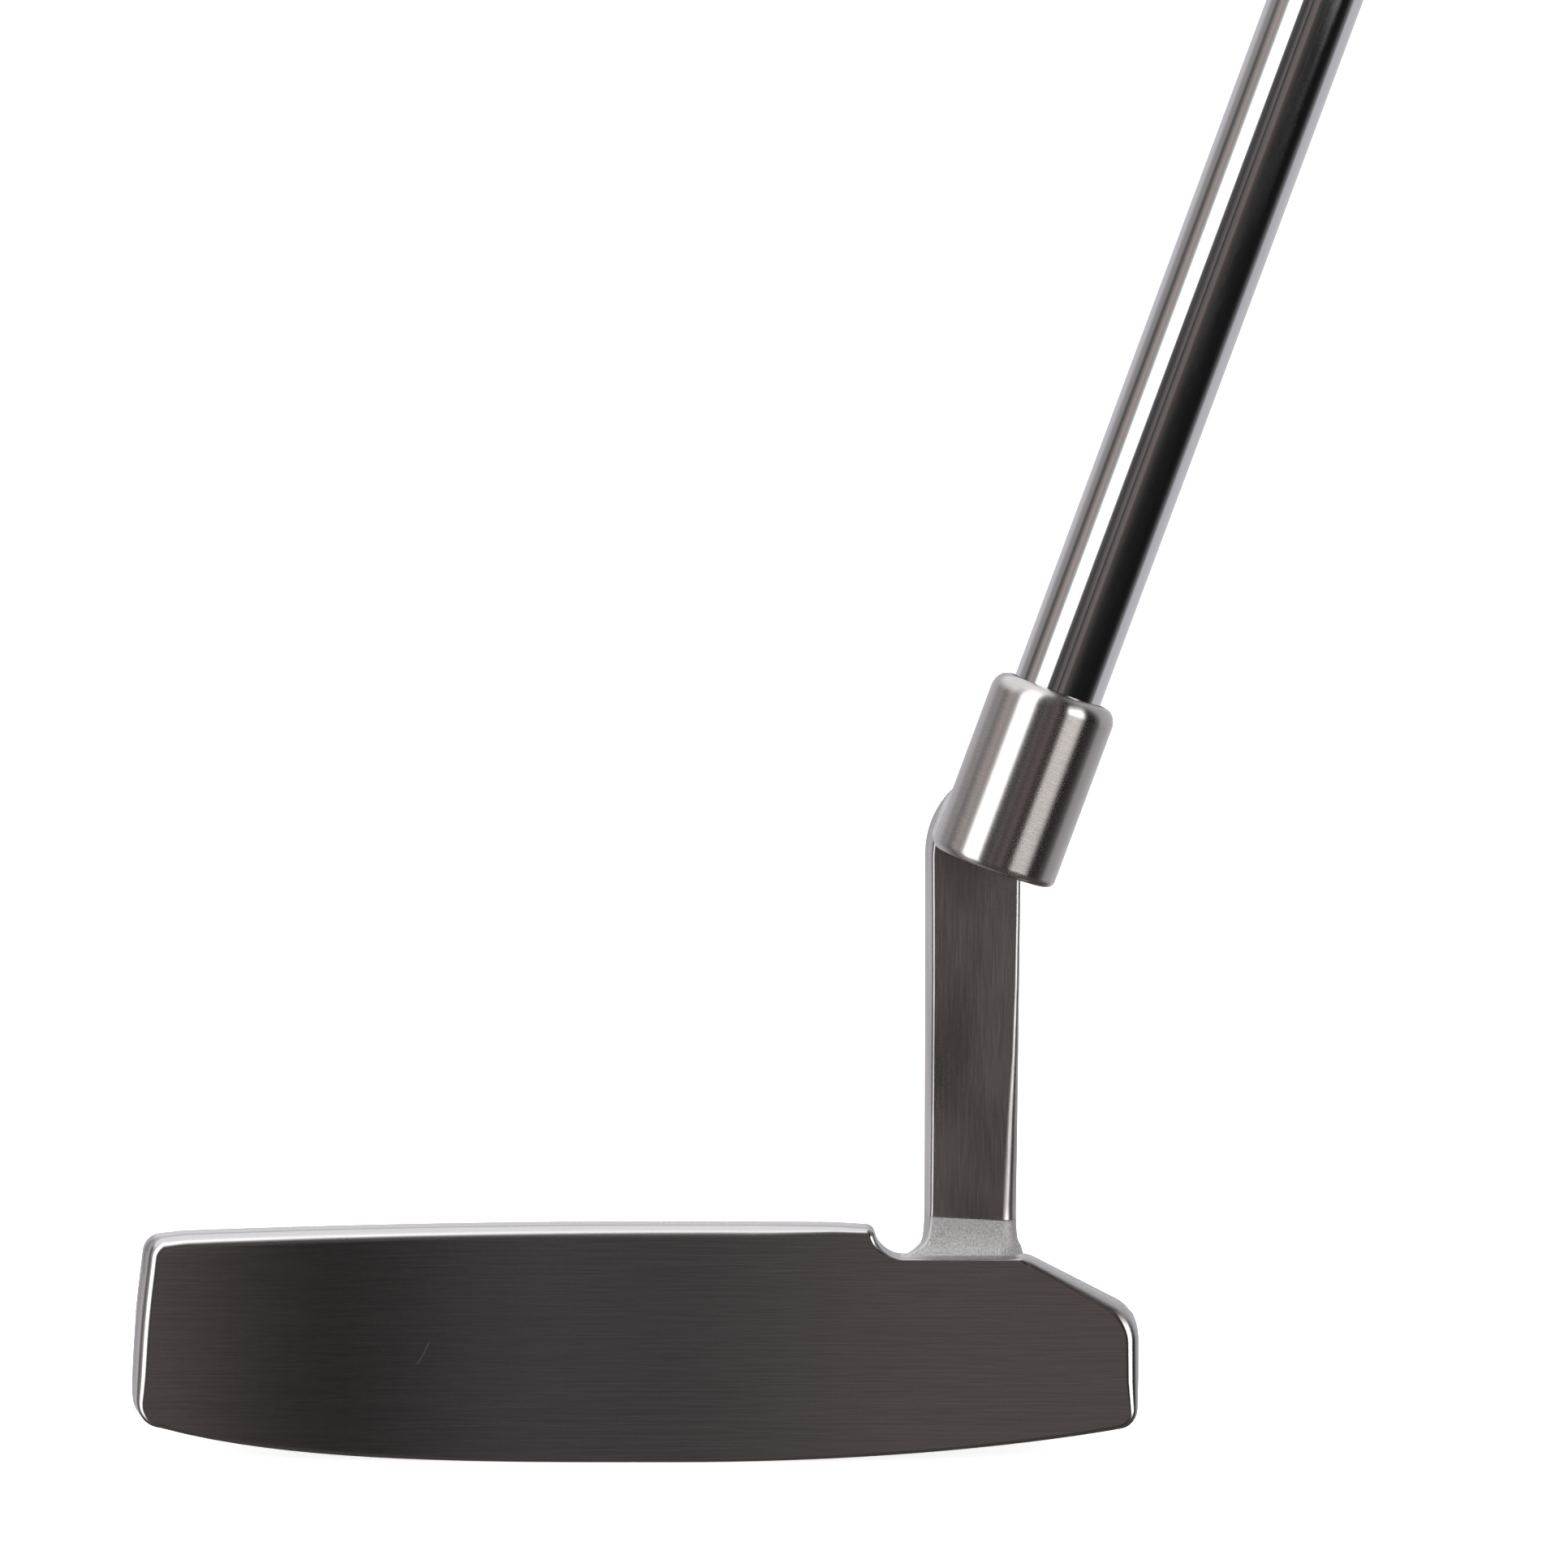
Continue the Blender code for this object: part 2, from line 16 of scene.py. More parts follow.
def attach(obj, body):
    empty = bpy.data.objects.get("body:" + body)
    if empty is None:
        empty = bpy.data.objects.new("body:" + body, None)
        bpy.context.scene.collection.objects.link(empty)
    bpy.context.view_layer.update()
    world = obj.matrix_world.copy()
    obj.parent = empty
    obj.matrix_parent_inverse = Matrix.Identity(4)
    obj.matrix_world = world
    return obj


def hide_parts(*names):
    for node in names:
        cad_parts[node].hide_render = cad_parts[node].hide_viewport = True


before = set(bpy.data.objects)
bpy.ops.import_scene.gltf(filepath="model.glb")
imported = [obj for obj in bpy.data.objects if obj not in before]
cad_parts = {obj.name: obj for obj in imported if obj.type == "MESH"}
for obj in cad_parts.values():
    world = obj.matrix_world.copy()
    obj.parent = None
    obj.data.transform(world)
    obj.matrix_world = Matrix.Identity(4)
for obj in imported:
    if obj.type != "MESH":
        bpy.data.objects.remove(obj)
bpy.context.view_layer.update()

# --- Head body ---------------------------------------------------------------------------
# The blade with its two weights, flange and sole: one stainless steel investment casting.
# The face is surface ground with a belt that runs from heel to toe, and the rest is fine
# blasted, then every edge is broken by hand on a polishing wheel.

MM = 0.001
FACE_AHEAD = 10.0  # the leading edge is this far in front of the contact point
LEADING_EDGE = Matrix.Translation((0.0, -FACE_AHEAD * MM, 0.0))
FACE_LOFT = math.radians(3.5)
CROWN_TOP = 25.96
CROWN_PEAK = 5.0
CROWN_DROP = 1.25
TOP_LINE_WIDTH = 6.6
BLADE_BACK = 7.3
END_REACH = 56.0
SOLE_CUTS = 36
TOP_LINE_CUTS = 18

# (x, z) of the corners of the head seen from the front, and how far each is rounded
HEAD_CORNERS = (
    (-56.65, 4.2, 2.7),
    (-56.5, 9.5, 1.8),
    (-56.05, 16.0, 2.5),
    (-54.95, 24.45, 1.7),
    (26.1, 25.6, 0.7),
    (27.0, 22.35, 2.4),
    (43.3, 22.4, 0.8),
    (55.85, 16.05, 2.8),
    (55.85, 9.0, 0.0),
    (55.75, 4.0, 1.8),
)
# depth behind the leading edge, and how far the toe end and the heel end draw in there
BLADE_STATIONS = ((0.0, 1.4, 0.6), (3.5, 0.84, 0.45), (TOP_LINE_WIDTH, 0.35, 0.3))

# half the flat at the contact point, then what the square and the fourth power of the
# distance past it are multiplied by
CONTACT_FLAT = 4.0
HEEL_CAMBER = (0.00135, 5.0e-8)
TOE_CAMBER = (0.00064, 3.6e-7)

# radius of the roll along the edge of the face, and the places where it changes
TOP_ROLL = 1.4
NECK_ROLL = 0.16
HEEL_ROLL = 1.5
SOLE_ROLL = 0.5
TOP_LINE_FOOT = 21.0
TIGHTENS_FROM = 14.0
TIGHTENS_FASTER_FROM = 26.0
OPENS_FROM = 42.0
RUN_OUT_FOOT = 3.2
RUN_OUT_LENGTH = 7.5
ROLL_STEPS = 7

WEIGHT_TOP = 15.5
WEIGHT_BACK_TOP = 9.5
WEIGHT_START = 9.5
CAVITY_HALF = 32.5
CAVITY_CORNER = 3.2
FLANGE_TOP = 6.8
FLANGE_BACK_TOP = 5.4
HEAD_DEPTH = 27.0
BACK_TURN_START = 13.0
BACK_TURN = 12.0
BACK_TURN_STEPS = 9
SOLE_LIFT = 3.0
BREAK_EDGE = 0.45
GROOVE_HALF = 0.9
GROOVE_START = 8.6
GROOVE_END = 24.4
GROOVE_DEPTH = 0.9

CLOSE = 0.01  # two places this near are taken as one
SHARP_EDGE = math.radians(35.0)


def add_node(tree, kind, inputs=None, **settings):
    """A shader node; each input is a value or another node's output."""
    made = tree.nodes.new(kind)
    for name, value in settings.items():
        setattr(made, name, value)
    for name, value in (inputs or {}).items():
        if isinstance(value, bpy.types.NodeSocket):
            tree.links.new(value, made.inputs[name])
        else:
            made.inputs[name].default_value = value
    return made


def new_finish(name):
    """An empty finish: its node tree, its Principled shader and its Object coordinates."""
    material = bpy.data.materials.new(name)
    material.use_nodes = True
    tree = material.node_tree
    shader = tree.nodes["Principled BSDF"]
    return material, tree, shader, tree.nodes.new("ShaderNodeTexCoord").outputs["Object"]


def grain(tree, coords, size, detail=2.0):
    """Noise whose features measure size, in millimetres, along X, Y and Z."""
    scale = tuple(1.0 / (length * MM) for length in size)
    fine = add_node(tree, "ShaderNodeMapping", {"Vector": coords, "Scale": scale})
    noise = add_node(
        tree,
        "ShaderNodeTexNoise",
        {"Vector": fine.outputs["Vector"], "Scale": 1.0, "Detail": detail, "Roughness": 0.6},
    )
    return noise.outputs["Fac"]


def spread(tree, value, low, high, start=0.3, end=0.7):
    """A value mapped from start..end to low..high."""
    made = add_node(
        tree,
        "ShaderNodeMapRange",
        {"Value": value, "From Min": start, "From Max": end, "To Min": low, "To Max": high},
    )
    return made.outputs["Result"]


def sums(tree, operation, first, second=0.0):
    """A Math node; each of its inputs is a number or another node's output."""
    made = tree.nodes.new("ShaderNodeMath")
    made.operation = operation
    for socket, value in zip(made.inputs, (first, second)):
        if isinstance(value, bpy.types.NodeSocket):
            tree.links.new(value, socket)
        else:
            socket.default_value = value
    return made.outputs[0]


def product(tree, *values):
    """All the values multiplied together."""
    result = values[0]
    for value in values[1:]:
        result = sums(tree, "MULTIPLY", result, value)
    return result


def share_out(tree, share, first, second):
    """A share of the first value, and the rest from the second."""
    rest = product(tree, second, 1.0 - share)
    return sums(tree, "ADD", product(tree, first, share), rest)


def tint(tree, factor, dark, light):
    """A colour between two; each is red, green and blue or another node's output."""
    made = add_node(tree, "ShaderNodeMixRGB", {"Fac": factor})
    for name, colour in (("Color1", dark), ("Color2", light)):
        if isinstance(colour, bpy.types.NodeSocket):
            tree.links.new(colour, made.inputs[name])
        else:
            made.inputs[name].default_value = (*colour, 1.0)
    return made.outputs["Color"]


def bump(tree, height, depth, normal=None):
    """Relief of the given depth in millimetres, over any relief below it."""
    inputs = {"Height": height, "Distance": depth * MM, "Strength": 1.0}
    if normal:
        inputs["Normal"] = normal
    return add_node(tree, "ShaderNodeBump", inputs).outputs["Normal"]


def set_finish(tree, shader, colour, rough, relief, metallic=0.0):
    """Give a finish its colour, its roughness and its relief."""
    tree.links.new(colour, shader.inputs["Base Color"])
    tree.links.new(rough, shader.inputs["Roughness"])
    tree.links.new(relief, shader.inputs["Normal"])
    shader.inputs["Metallic"].default_value = metallic


def brush(tree, shader, anisotropy, across):
    """Stretch the shine as fine marks do; across is the direction at right angles to them."""
    shader.inputs["Anisotropic"].default_value = anisotropy
    tangent = add_node(tree, "ShaderNodeCombineXYZ", dict(zip("XYZ", across)))
    tree.links.new(tangent.outputs["Vector"], shader.inputs["Tangent"])


def finish_piece(name, bm, material, node, place=LEADING_EDGE):
    """Put a mesh made in millimetres in its place, give it its finish and tie it to the CAD."""
    bmesh.ops.scale(bm, verts=bm.verts, vec=(MM, MM, MM))
    bmesh.ops.transform(bm, verts=bm.verts, matrix=place)
    bmesh.ops.remove_doubles(bm, verts=bm.verts, dist=1e-7)
    bmesh.ops.recalc_face_normals(bm, faces=bm.faces)
    mesh = bpy.data.meshes.new(name)
    bm.to_mesh(mesh)
    bm.free()
    mesh.materials.append(material)
    mesh.shade_smooth()
    mesh.set_sharp_from_angle(angle=SHARP_EDGE)
    piece = bpy.data.objects.new(name, mesh)
    bpy.context.scene.collection.objects.link(piece)
    even = piece.modifiers.new("even_shading", "WEIGHTED_NORMAL")
    even.keep_sharp = True
    even.weight = 100
    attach(piece, "root")
    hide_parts(node)


def only(kind, items):
    """The items of one kind: corners, edges or faces."""
    return [item for item in items if isinstance(item, kind)]


def round_over(bm, geom, rounding, segments, affect="EDGES"):
    """Round the given edges or corners."""
    bmesh.ops.bevel(
        bm,
        geom=geom,
        affect=affect,
        offset=rounding,
        segments=segments,
        profile=0.5,
        material=-1,
    )


def round_corner(bm, place, rounding, segments=8):
    """Round the corner of a flat outline that is at a place."""
    corner = min(bm.verts, key=lambda vert: (vert.co - Vector(place)).length)
    round_over(bm, [corner], rounding, segments, affect="VERTICES")


def cut(bm, faces, point, across):
    """Split faces where they cross a plane."""
    geom = dict.fromkeys(item for f in faces for item in (f, *f.edges, *f.verts))
    bmesh.ops.bisect_plane(bm, geom=list(geom), plane_co=point, plane_no=across, dist=1e-5)


def push_face(bm, faces, depth, keep=False):
    """Extrude faces back to a depth; returns the moved faces and their corners."""
    grown = bmesh.ops.extrude_face_region(bm, geom=faces)["geom"]
    if not keep:
        bmesh.ops.delete(bm, geom=faces, context="FACES")
    verts = only(BMVert, grown)
    for vert in verts:
        vert.co.y = depth
    return only(BMFace, grown), verts


def sole_height(x):
    """Camber of the sole from heel to toe, flat on either side of the contact point."""
    reach = max(abs(x) - CONTACT_FLAT, 0.0)
    square, fourth = HEEL_CAMBER if x > 0.0 else TOE_CAMBER
    return square * reach**2 + fourth * reach**4


def edge_radius(x, z):
    """Radius of the rolled edge of the face at a point of its outline, sharpest by the neck."""
    radius = TOP_ROLL
    if z > TOP_LINE_FOOT and x > TIGHTENS_FROM:
        faster = max(x - TIGHTENS_FASTER_FROM, 0.0)
        radius = max(TOP_ROLL - 0.055 * (x - TIGHTENS_FROM) - 0.14 * faster, NECK_ROLL)
    if x > OPENS_FROM:
        past = x - OPENS_FROM
        radius = min(NECK_ROLL + 0.6 * past, 0.68 + 0.12 * past, HEEL_ROLL)
    # it runs out towards the sole
    low = min(max((z - RUN_OUT_FOOT) / RUN_OUT_LENGTH, 0.0), 1.0)
    if radius > SOLE_ROLL:
        radius = SOLE_ROLL + (radius - SOLE_ROLL) * math.sin(low * math.pi / 2.0)
    return radius


def nearest_roll(rolls, x, z):
    """The roll at the point of the outline that is nearest to a place."""
    return min(rolls, key=lambda roll: math.hypot(roll[0] - x, roll[1] - z))


def draw_in(x, toe, heel, power=3):
    """How far a point moves as the ends of its section are drawn in, most at the tips."""
    return (toe if x < 0.0 else -heel) * (abs(x) / END_REACH) ** power


def edge_at(bm, first, second):
    """The edge between two corners given as (x, z)."""
    def gap(vert, point):
        return math.hypot(vert.co.x - point[0], vert.co.z - point[1])

    return min(
        bm.edges,
        key=lambda e: min(
            gap(e.verts[0], first) + gap(e.verts[1], second),
            gap(e.verts[1], first) + gap(e.verts[0], second),
        ),
    )


def flange_faces(bm, half_width):
    """The faces of the flange's top within a distance of its middle."""
    found = []
    for f in bm.faces:
        centre = f.calc_center_median()
        if f.normal.z > 0.9 and centre.z < FLANGE_TOP + 0.1 and abs(centre.x) < half_width:
            found.append(f)
    return found


body = bmesh.new()
body.faces.new([body.verts.new((x, 0.0, z)) for x, z, rounding in HEAD_CORNERS])
sole = edge_at(body, HEAD_CORNERS[0][:2], HEAD_CORNERS[-1][:2])
top_line = edge_at(body, HEAD_CORNERS[3][:2], HEAD_CORNERS[4][:2])
made = bmesh.ops.subdivide_edges(body, edges=[sole], cuts=SOLE_CUTS)
for vert in only(BMVert, made["geom_inner"]):
    vert.co.z = sole_height(vert.co.x)
made = bmesh.ops.subdivide_edges(body, edges=[top_line], cuts=TOP_LINE_CUTS)
for vert in only(BMVert, made["geom_inner"]):
    fall = (vert.co.x - CROWN_PEAK) / (END_REACH + CROWN_PEAK)
    vert.co.z = CROWN_TOP - CROWN_DROP * fall * fall
for x, z, rounding in HEAD_CORNERS:
    if rounding:
        round_corner(body, (x, 0.0, z), rounding)
start_x = body.verts.layers.float.new("start_x")
start_z = body.verts.layers.float.new("start_z")
for vert in body.verts:
    vert[start_x] = vert.co.x
    vert[start_z] = vert.co.z
template = body.faces[:][0]
back = [template]
for depth, toe, heel in BLADE_STATIONS[1:]:
    back, verts = push_face(body, back, depth, keep=back[0] is template)
    for vert in verts:
        vert.co.x = vert[start_x] + draw_in(vert[start_x], toe, heel)

# the edge of the face rolls forward and inward, by a radius that changes round the outline
rim_x = body.verts.layers.float.new("rim_x")
rim_z = body.verts.layers.float.new("rim_z")
for vert in template.verts:
    vert.co.x += draw_in(vert.co.x, *BLADE_STATIONS[0][1:])
    vert[rim_x] = vert.co.x
    vert[rim_z] = vert.co.z
rolls = []
for loop in template.loops:
    before = loop.vert.co - loop.link_loop_prev.vert.co
    after = loop.link_loop_next.vert.co - loop.vert.co
    along = before.normalized() + after.normalized()
    inward = Vector((-along.z, 0.0, along.x)).normalized()
    if template.normal.y > 0.0:
        inward = -inward
    x, z = loop.vert.co.x, loop.vert.co.z
    rolls.append((x, z, inward, edge_radius(x, z)))
for vert in template.verts:
    radius = nearest_roll(rolls, vert.co.x, vert.co.z)[3]
    vert.co.y = vert.co.z * math.tan(FACE_LOFT) + radius
front = [template]
for step in range(1, ROLL_STEPS + 1):
    angle = math.radians(90.0 * step / ROLL_STEPS)
    front, verts = push_face(body, front, 0.0)
    for vert in verts:
        x, z, inward, radius = nearest_roll(rolls, vert[rim_x], vert[rim_z])
        vert.co = Vector((x, 0.0, z)) + inward * radius * (1.0 - math.cos(angle))
        vert.co.y = vert.co.z * math.tan(FACE_LOFT) + radius * (1.0 - math.sin(angle))

# the back of the blade is split where the weights, the cavity and the flange begin
for point, across, within in (
    ((0.0, 0.0, WEIGHT_TOP), (0.0, 0.0, 1.0), lambda c: True),
    ((-CAVITY_HALF, 0.0, 0.0), (1.0, 0.0, 0.0), lambda c: c.z < WEIGHT_TOP),
    ((CAVITY_HALF, 0.0, 0.0), (1.0, 0.0, 0.0), lambda c: c.z < WEIGHT_TOP),
    (
        (0.0, 0.0, FLANGE_TOP),
        (0.0, 0.0, 1.0),
        lambda c: c.z < WEIGHT_TOP and abs(c.x) < CAVITY_HALF,
    ),
):
    back_faces = []
    for f in body.faces:
        centre = f.calc_center_median()
        if centre.y > TOP_LINE_WIDTH - CLOSE and within(centre):
            back_faces.append(f)
    cut(body, back_faces, point, across)
for vert in body.verts:
    if vert.co.y > TOP_LINE_WIDTH - CLOSE:
        vert[start_x] = vert.co.x
        vert[start_z] = vert.co.z
        if vert.co.z < WEIGHT_TOP + CLOSE:
            vert.co.y = BLADE_BACK

# the weights and the flange grow back from it, sloping down and drawing in as they go
grown = []
for f in body.faces:
    centre = f.calc_center_median()
    if centre.y > BLADE_BACK - CLOSE and centre.z < WEIGHT_TOP:
        if abs(centre.x) > CAVITY_HALF or centre.z < FLANGE_TOP:
            grown.append(f)
turns = [math.radians(90.0 * step / BACK_TURN_STEPS) for step in range(BACK_TURN_STEPS + 1)]
for turn in (None, *turns):
    depth, drawn = WEIGHT_START, 0.0
    if turn is not None:
        depth = BACK_TURN_START + (HEAD_DEPTH - BACK_TURN_START) * math.sin(turn)
        drawn = 1.0 - math.cos(turn)
    grown, verts = push_face(body, grown, depth)
    slope = (depth - WEIGHT_START) / (HEAD_DEPTH - WEIGHT_START)
    for vert in verts:
        x = vert[start_x]
        floor = sole_height(x)
        on_flange = abs(x) < CAVITY_HALF + CLOSE and vert[start_z] < FLANGE_TOP + CLOSE
        top, end = (FLANGE_TOP, FLANGE_BACK_TOP) if on_flange else (WEIGHT_TOP, WEIGHT_BACK_TOP)
        now = top + (end - top) * slope
        rise = (vert[start_z] - floor) * (now - floor) / (top - floor)
        vert.co.x = x + draw_in(x, BACK_TURN * drawn, BACK_TURN * drawn, power=6)
        vert.co.z = floor + rise + SOLE_LIFT * drawn * (1.0 - (floor + rise) / CROWN_TOP)
body.normal_update()

# the upright corners of the cavity are rounded as the cutter leaves them
upright = [
    e
    for e in body.edges
    if abs(abs(e.verts[0].co.x) - CAVITY_HALF) < CLOSE
    and abs(abs(e.verts[1].co.x) - CAVITY_HALF) < CLOSE
    and abs(e.verts[0].co.y - BLADE_BACK) < CLOSE
    and abs(e.verts[1].co.y - BLADE_BACK) < CLOSE
    and min(e.verts[0].co.z, e.verts[1].co.z) > FLANGE_TOP - CLOSE
]
round_over(body, upright, CAVITY_CORNER, 6)
bmesh.ops.recalc_face_normals(body, faces=body.faces)

# the slot for the sight line is milled in the middle of the flange
for side in (-GROOVE_HALF, GROOVE_HALF):
    cut(body, flange_faces(body, CAVITY_HALF - 5.0), (side, 0.0, 0.0), (1.0, 0.0, 0.0))
for end in (GROOVE_START, GROOVE_END):
    cut(body, flange_faces(body, GROOVE_HALF), (0.0, end, 0.0), (0.0, 1.0, 0.0))
slot = [
    f
    for f in flange_faces(body, GROOVE_HALF)
    if GROOVE_START < f.calc_center_median().y < GROOVE_END
]
made = bmesh.ops.extrude_face_region(body, geom=slot)["geom"]
bmesh.ops.delete(body, geom=slot, context="FACES")
bmesh.ops.translate(body, verts=only(BMVert, made), vec=(0.0, 0.0, -GROOVE_DEPTH))

# the wheel breaks every edge behind the face, but can't reach into the slot
broken = []
for e in body.edges:
    if len(e.link_faces) == 2 and abs(e.calc_face_angle()) > 0.5:
        middle = (e.verts[0].co + e.verts[1].co) / 2.0
        in_slot = abs(middle.x) < GROOVE_HALF + 0.1 and GROOVE_START - 0.1 < middle.y
        in_slot = in_slot and middle.y < GROOVE_END + 0.1 and middle.z < FLANGE_TOP + 0.1
        if min(v.co.y for v in e.verts) > TOP_LINE_WIDTH - 0.5 and not in_slot:
            broken.append(e)
round_over(body, broken, BREAK_EDGE, 3)

# how far behind the plane of the face its ground finish fades out, and the wheel's after it
GROUND_FADE = (0.02 * MM, 0.12 * MM)
WHEEL_FADE = (1.3 * MM, 1.9 * MM)
SCRATCH_CENTRE = (-29.6 * MM, 0.0, 15.4 * MM)
SCRATCH_RADIUS = 7.1 * MM

head_steel, tree, shader, coords = new_finish("ground_and_blasted_steel")
parts = add_node(tree, "ShaderNodeSeparateXYZ", {"Vector": coords}).outputs
lofted = product(tree, parts["Z"], math.tan(FACE_LOFT))
behind = sums(tree, "SUBTRACT", sums(tree, "ADD", parts["Y"], FACE_AHEAD * MM), lofted)
on_face = spread(tree, behind, 1.0, 0.0, *GROUND_FADE)
on_roll = spread(tree, behind, 1.0, 0.0, *WHEEL_FADE)
belt = grain(tree, coords, (20.0, 3.0, 0.17), detail=4.0)
belt_fine = grain(tree, coords, (6.0, 3.0, 0.1))
blast = grain(tree, coords, (0.16, 0.16, 0.16), detail=3.0)
cloud = grain(tree, coords, (9.0, 9.0, 5.0), detail=3.0)
streaks = share_out(tree, 0.5, belt, belt_fine)
streak_tone = spread(tree, streaks, 0.0, 1.0, 0.4, 0.6)
ground = tint(tree, streak_tone, (0.325, 0.312, 0.312), (0.395, 0.38, 0.379))
blasted = tint(tree, spread(tree, blast, 0.0, 1.0), (0.52, 0.51, 0.515), (0.56, 0.548, 0.553))

# one small curved scratch low on the face, where a ball mark was wiped away
on_plane = {"X": parts["X"], "Y": 0.0, "Z": parts["Z"]}
flat_place = add_node(tree, "ShaderNodeCombineXYZ", on_plane)
from_centre = add_node(
    tree,
    "ShaderNodeVectorMath",
    {0: flat_place.outputs["Vector"], 1: SCRATCH_CENTRE},
    operation="DISTANCE",
)
off_arc = sums(tree, "SUBTRACT", from_centre.outputs["Value"], SCRATCH_RADIUS)
scratch = product(
    tree,
    spread(tree, sums(tree, "ABSOLUTE", off_arc), 1.0, 0.0, 0.02 * MM, 0.09 * MM),
    spread(tree, parts["Z"], 0.0, 1.0, 10.6 * MM, 11.2 * MM),
    spread(tree, parts["Z"], 1.0, 0.0, 13.0 * MM, 13.6 * MM),
    spread(tree, parts["X"], 0.0, 1.0, -26.0 * MM, -25.0 * MM),
    0.7,
)
marked = tint(tree, scratch, ground, (0.9, 0.88, 0.87))

# the wheel leaves the roll between the two in tone
steel_colour = tint(tree, share_out(tree, 0.6, on_face, on_roll), blasted, marked)
face_rough = spread(tree, cloud, 0.125, 0.14, 0.2, 0.8)
roll_rough = spread(tree, parts["X"], 0.17, 0.23, 38.0 * MM, 50.0 * MM)
side_rough = spread(tree, on_roll, spread(tree, blast, 0.25, 0.3), roll_rough, 0.0, 1.0)
steel_rough = spread(tree, on_face, side_rough, face_rough, 0.0, 1.0)
ground_relief = bump(tree, product(tree, streaks, on_face), 0.004)
off_roll = sums(tree, "SUBTRACT", 1.0, on_roll)
relief = bump(tree, product(tree, blast, off_roll), 0.0012, ground_relief)
set_finish(tree, shader, steel_colour, steel_rough, relief, metallic=1.0)
brush(tree, shader, 0.97, (0.0, 0.7, 0.7))
finish_piece("head_body", body, head_steel, "head_casting")

# --- Sight line --------------------------------------------------------------------------
# A short straight line of white enamel, to aim the club by. It is run into the slot milled in
# the flange and left to settle just below its lips.

FILL_GAP = 0.04
FILL_DEPTH = 0.62
FILL_ROUND = 0.12
line = bmesh.new()
bmesh.ops.create_cube(line, size=1.0)
bmesh.ops.scale(line, verts=line.verts, vec=(2.0 * (GROOVE_HALF - FILL_GAP), 1.0, FILL_DEPTH))
for vert in line.verts:
    behind = GROOVE_END - FILL_GAP if vert.co.y > 0.0 else GROOVE_START + FILL_GAP
    slope = (behind - WEIGHT_START) / (HEAD_DEPTH - WEIGHT_START)
    floor = FLANGE_TOP + (FLANGE_BACK_TOP - FLANGE_TOP) * max(slope, 0.0) - GROOVE_DEPTH
    vert.co.y = behind
    vert.co.z += floor + FILL_GAP + FILL_DEPTH / 2.0
round_over(line, line.edges[:], FILL_ROUND, 3)
enamel, tree, shader, coords = new_finish("sight_line_enamel")
ripple = grain(tree, coords, (1.6, 4.0, 1.6))
white = tint(tree, spread(tree, ripple, 0.0, 1.0), (0.74, 0.735, 0.71), (0.84, 0.84, 0.82))
set_finish(tree, shader, white, spread(tree, ripple, 0.28, 0.42), bump(tree, ripple, 0.02))
finish_piece("sight_line_enamel", line, enamel, "sight_line_infill")

# --- Neck --------------------------------------------------------------------------------
# The bar that rises out of the heel and bends over to carry the hosel, cast with the head.
# Its foot flares into the ledge and is left blasted up to a finish line; above that line it
# is linished up and down.

NECK_TOE_SIDE = 31.75
NECK_HEEL_SIDE = 42.35
NECK_FRONT = 5.2
NECK_BACK = 13.4
NECK_DRAFT = 0.75
NECK_BEND_START = 66.3
NECK_BEND_RADIUS = 10.8
NECK_BEND_ANGLE = math.radians(66.0)
NECK_BEND_STEPS = 14
NECK_ELBOW_ROUND = 5.0
NECK_ELBOW_HASTE = 1.45  # how much faster than the bend the back of the elbow rounds over
# the front edge on the heel side: what counts as near it, the share of its rounding that it
# keeps up the bar, and where the blending by hand that fills it out to the foot begins
NECK_EDGE_REACH = 1.95
NECK_EDGE_SHARE = 0.3
NECK_BLEND_TOP = 58.0
NECK_BLEND_LENGTH = 26.0
# the finish line's height, half its thickness, and how it slants about the bar's middle
FINISH_LINE = 26.3
FINISH_LINE_HALF = 0.06
FINISH_LINE_MIDDLE = 37.1
FINISH_LINE_SLANT = 0.056
# height, then how far the foot stands out at the toe side, front, heel side and back
NECK_LEVELS = (
    (11.0, 3.6, 1.3, 0.4, 0.5),
    (22.0, 3.6, 1.3, 0.4, 0.5),
    (22.35, 3.4, 1.1, 0.38, 0.4),
    (22.66, 2.6, 0.85, 0.2, 0.3),
    (23.0, 1.7, 0.62, 0.03, 0.25),
    (23.5, 1.0, 0.38, -0.13, 0.2),
    (24.3, 0.5, 0.16, -0.27, 0.1),
    (25.4, 0.22, 0.04, -0.36, 0.0),
    (26.6, 0.1, 0.0, -0.38, 0.0),
    (27.8, 0.06, 0.0, -0.37, 0.0),
    (36.0, 0.0, 0.0, -0.28, 0.0),
    (44.0, -0.04, 0.0, -0.22, 0.0),
    (52.0, -0.08, 0.0, -0.15, 0.0),
    (60.0, -0.06, 0.0, -0.07, 0.0),
    (NECK_BEND_START, 0.0, 0.0, 0.0, 0.0),
)


def tightened(x, y, share):
    """A place in the bar's section; near the heel side's front edge it is drawn in to it."""
    if math.hypot(x - NECK_HEEL_SIDE, y - NECK_FRONT) < NECK_EDGE_REACH:
        x = NECK_HEEL_SIDE + (x - NECK_HEEL_SIDE) * share
        y = NECK_FRONT + (y - NECK_FRONT) * share
    return x, y


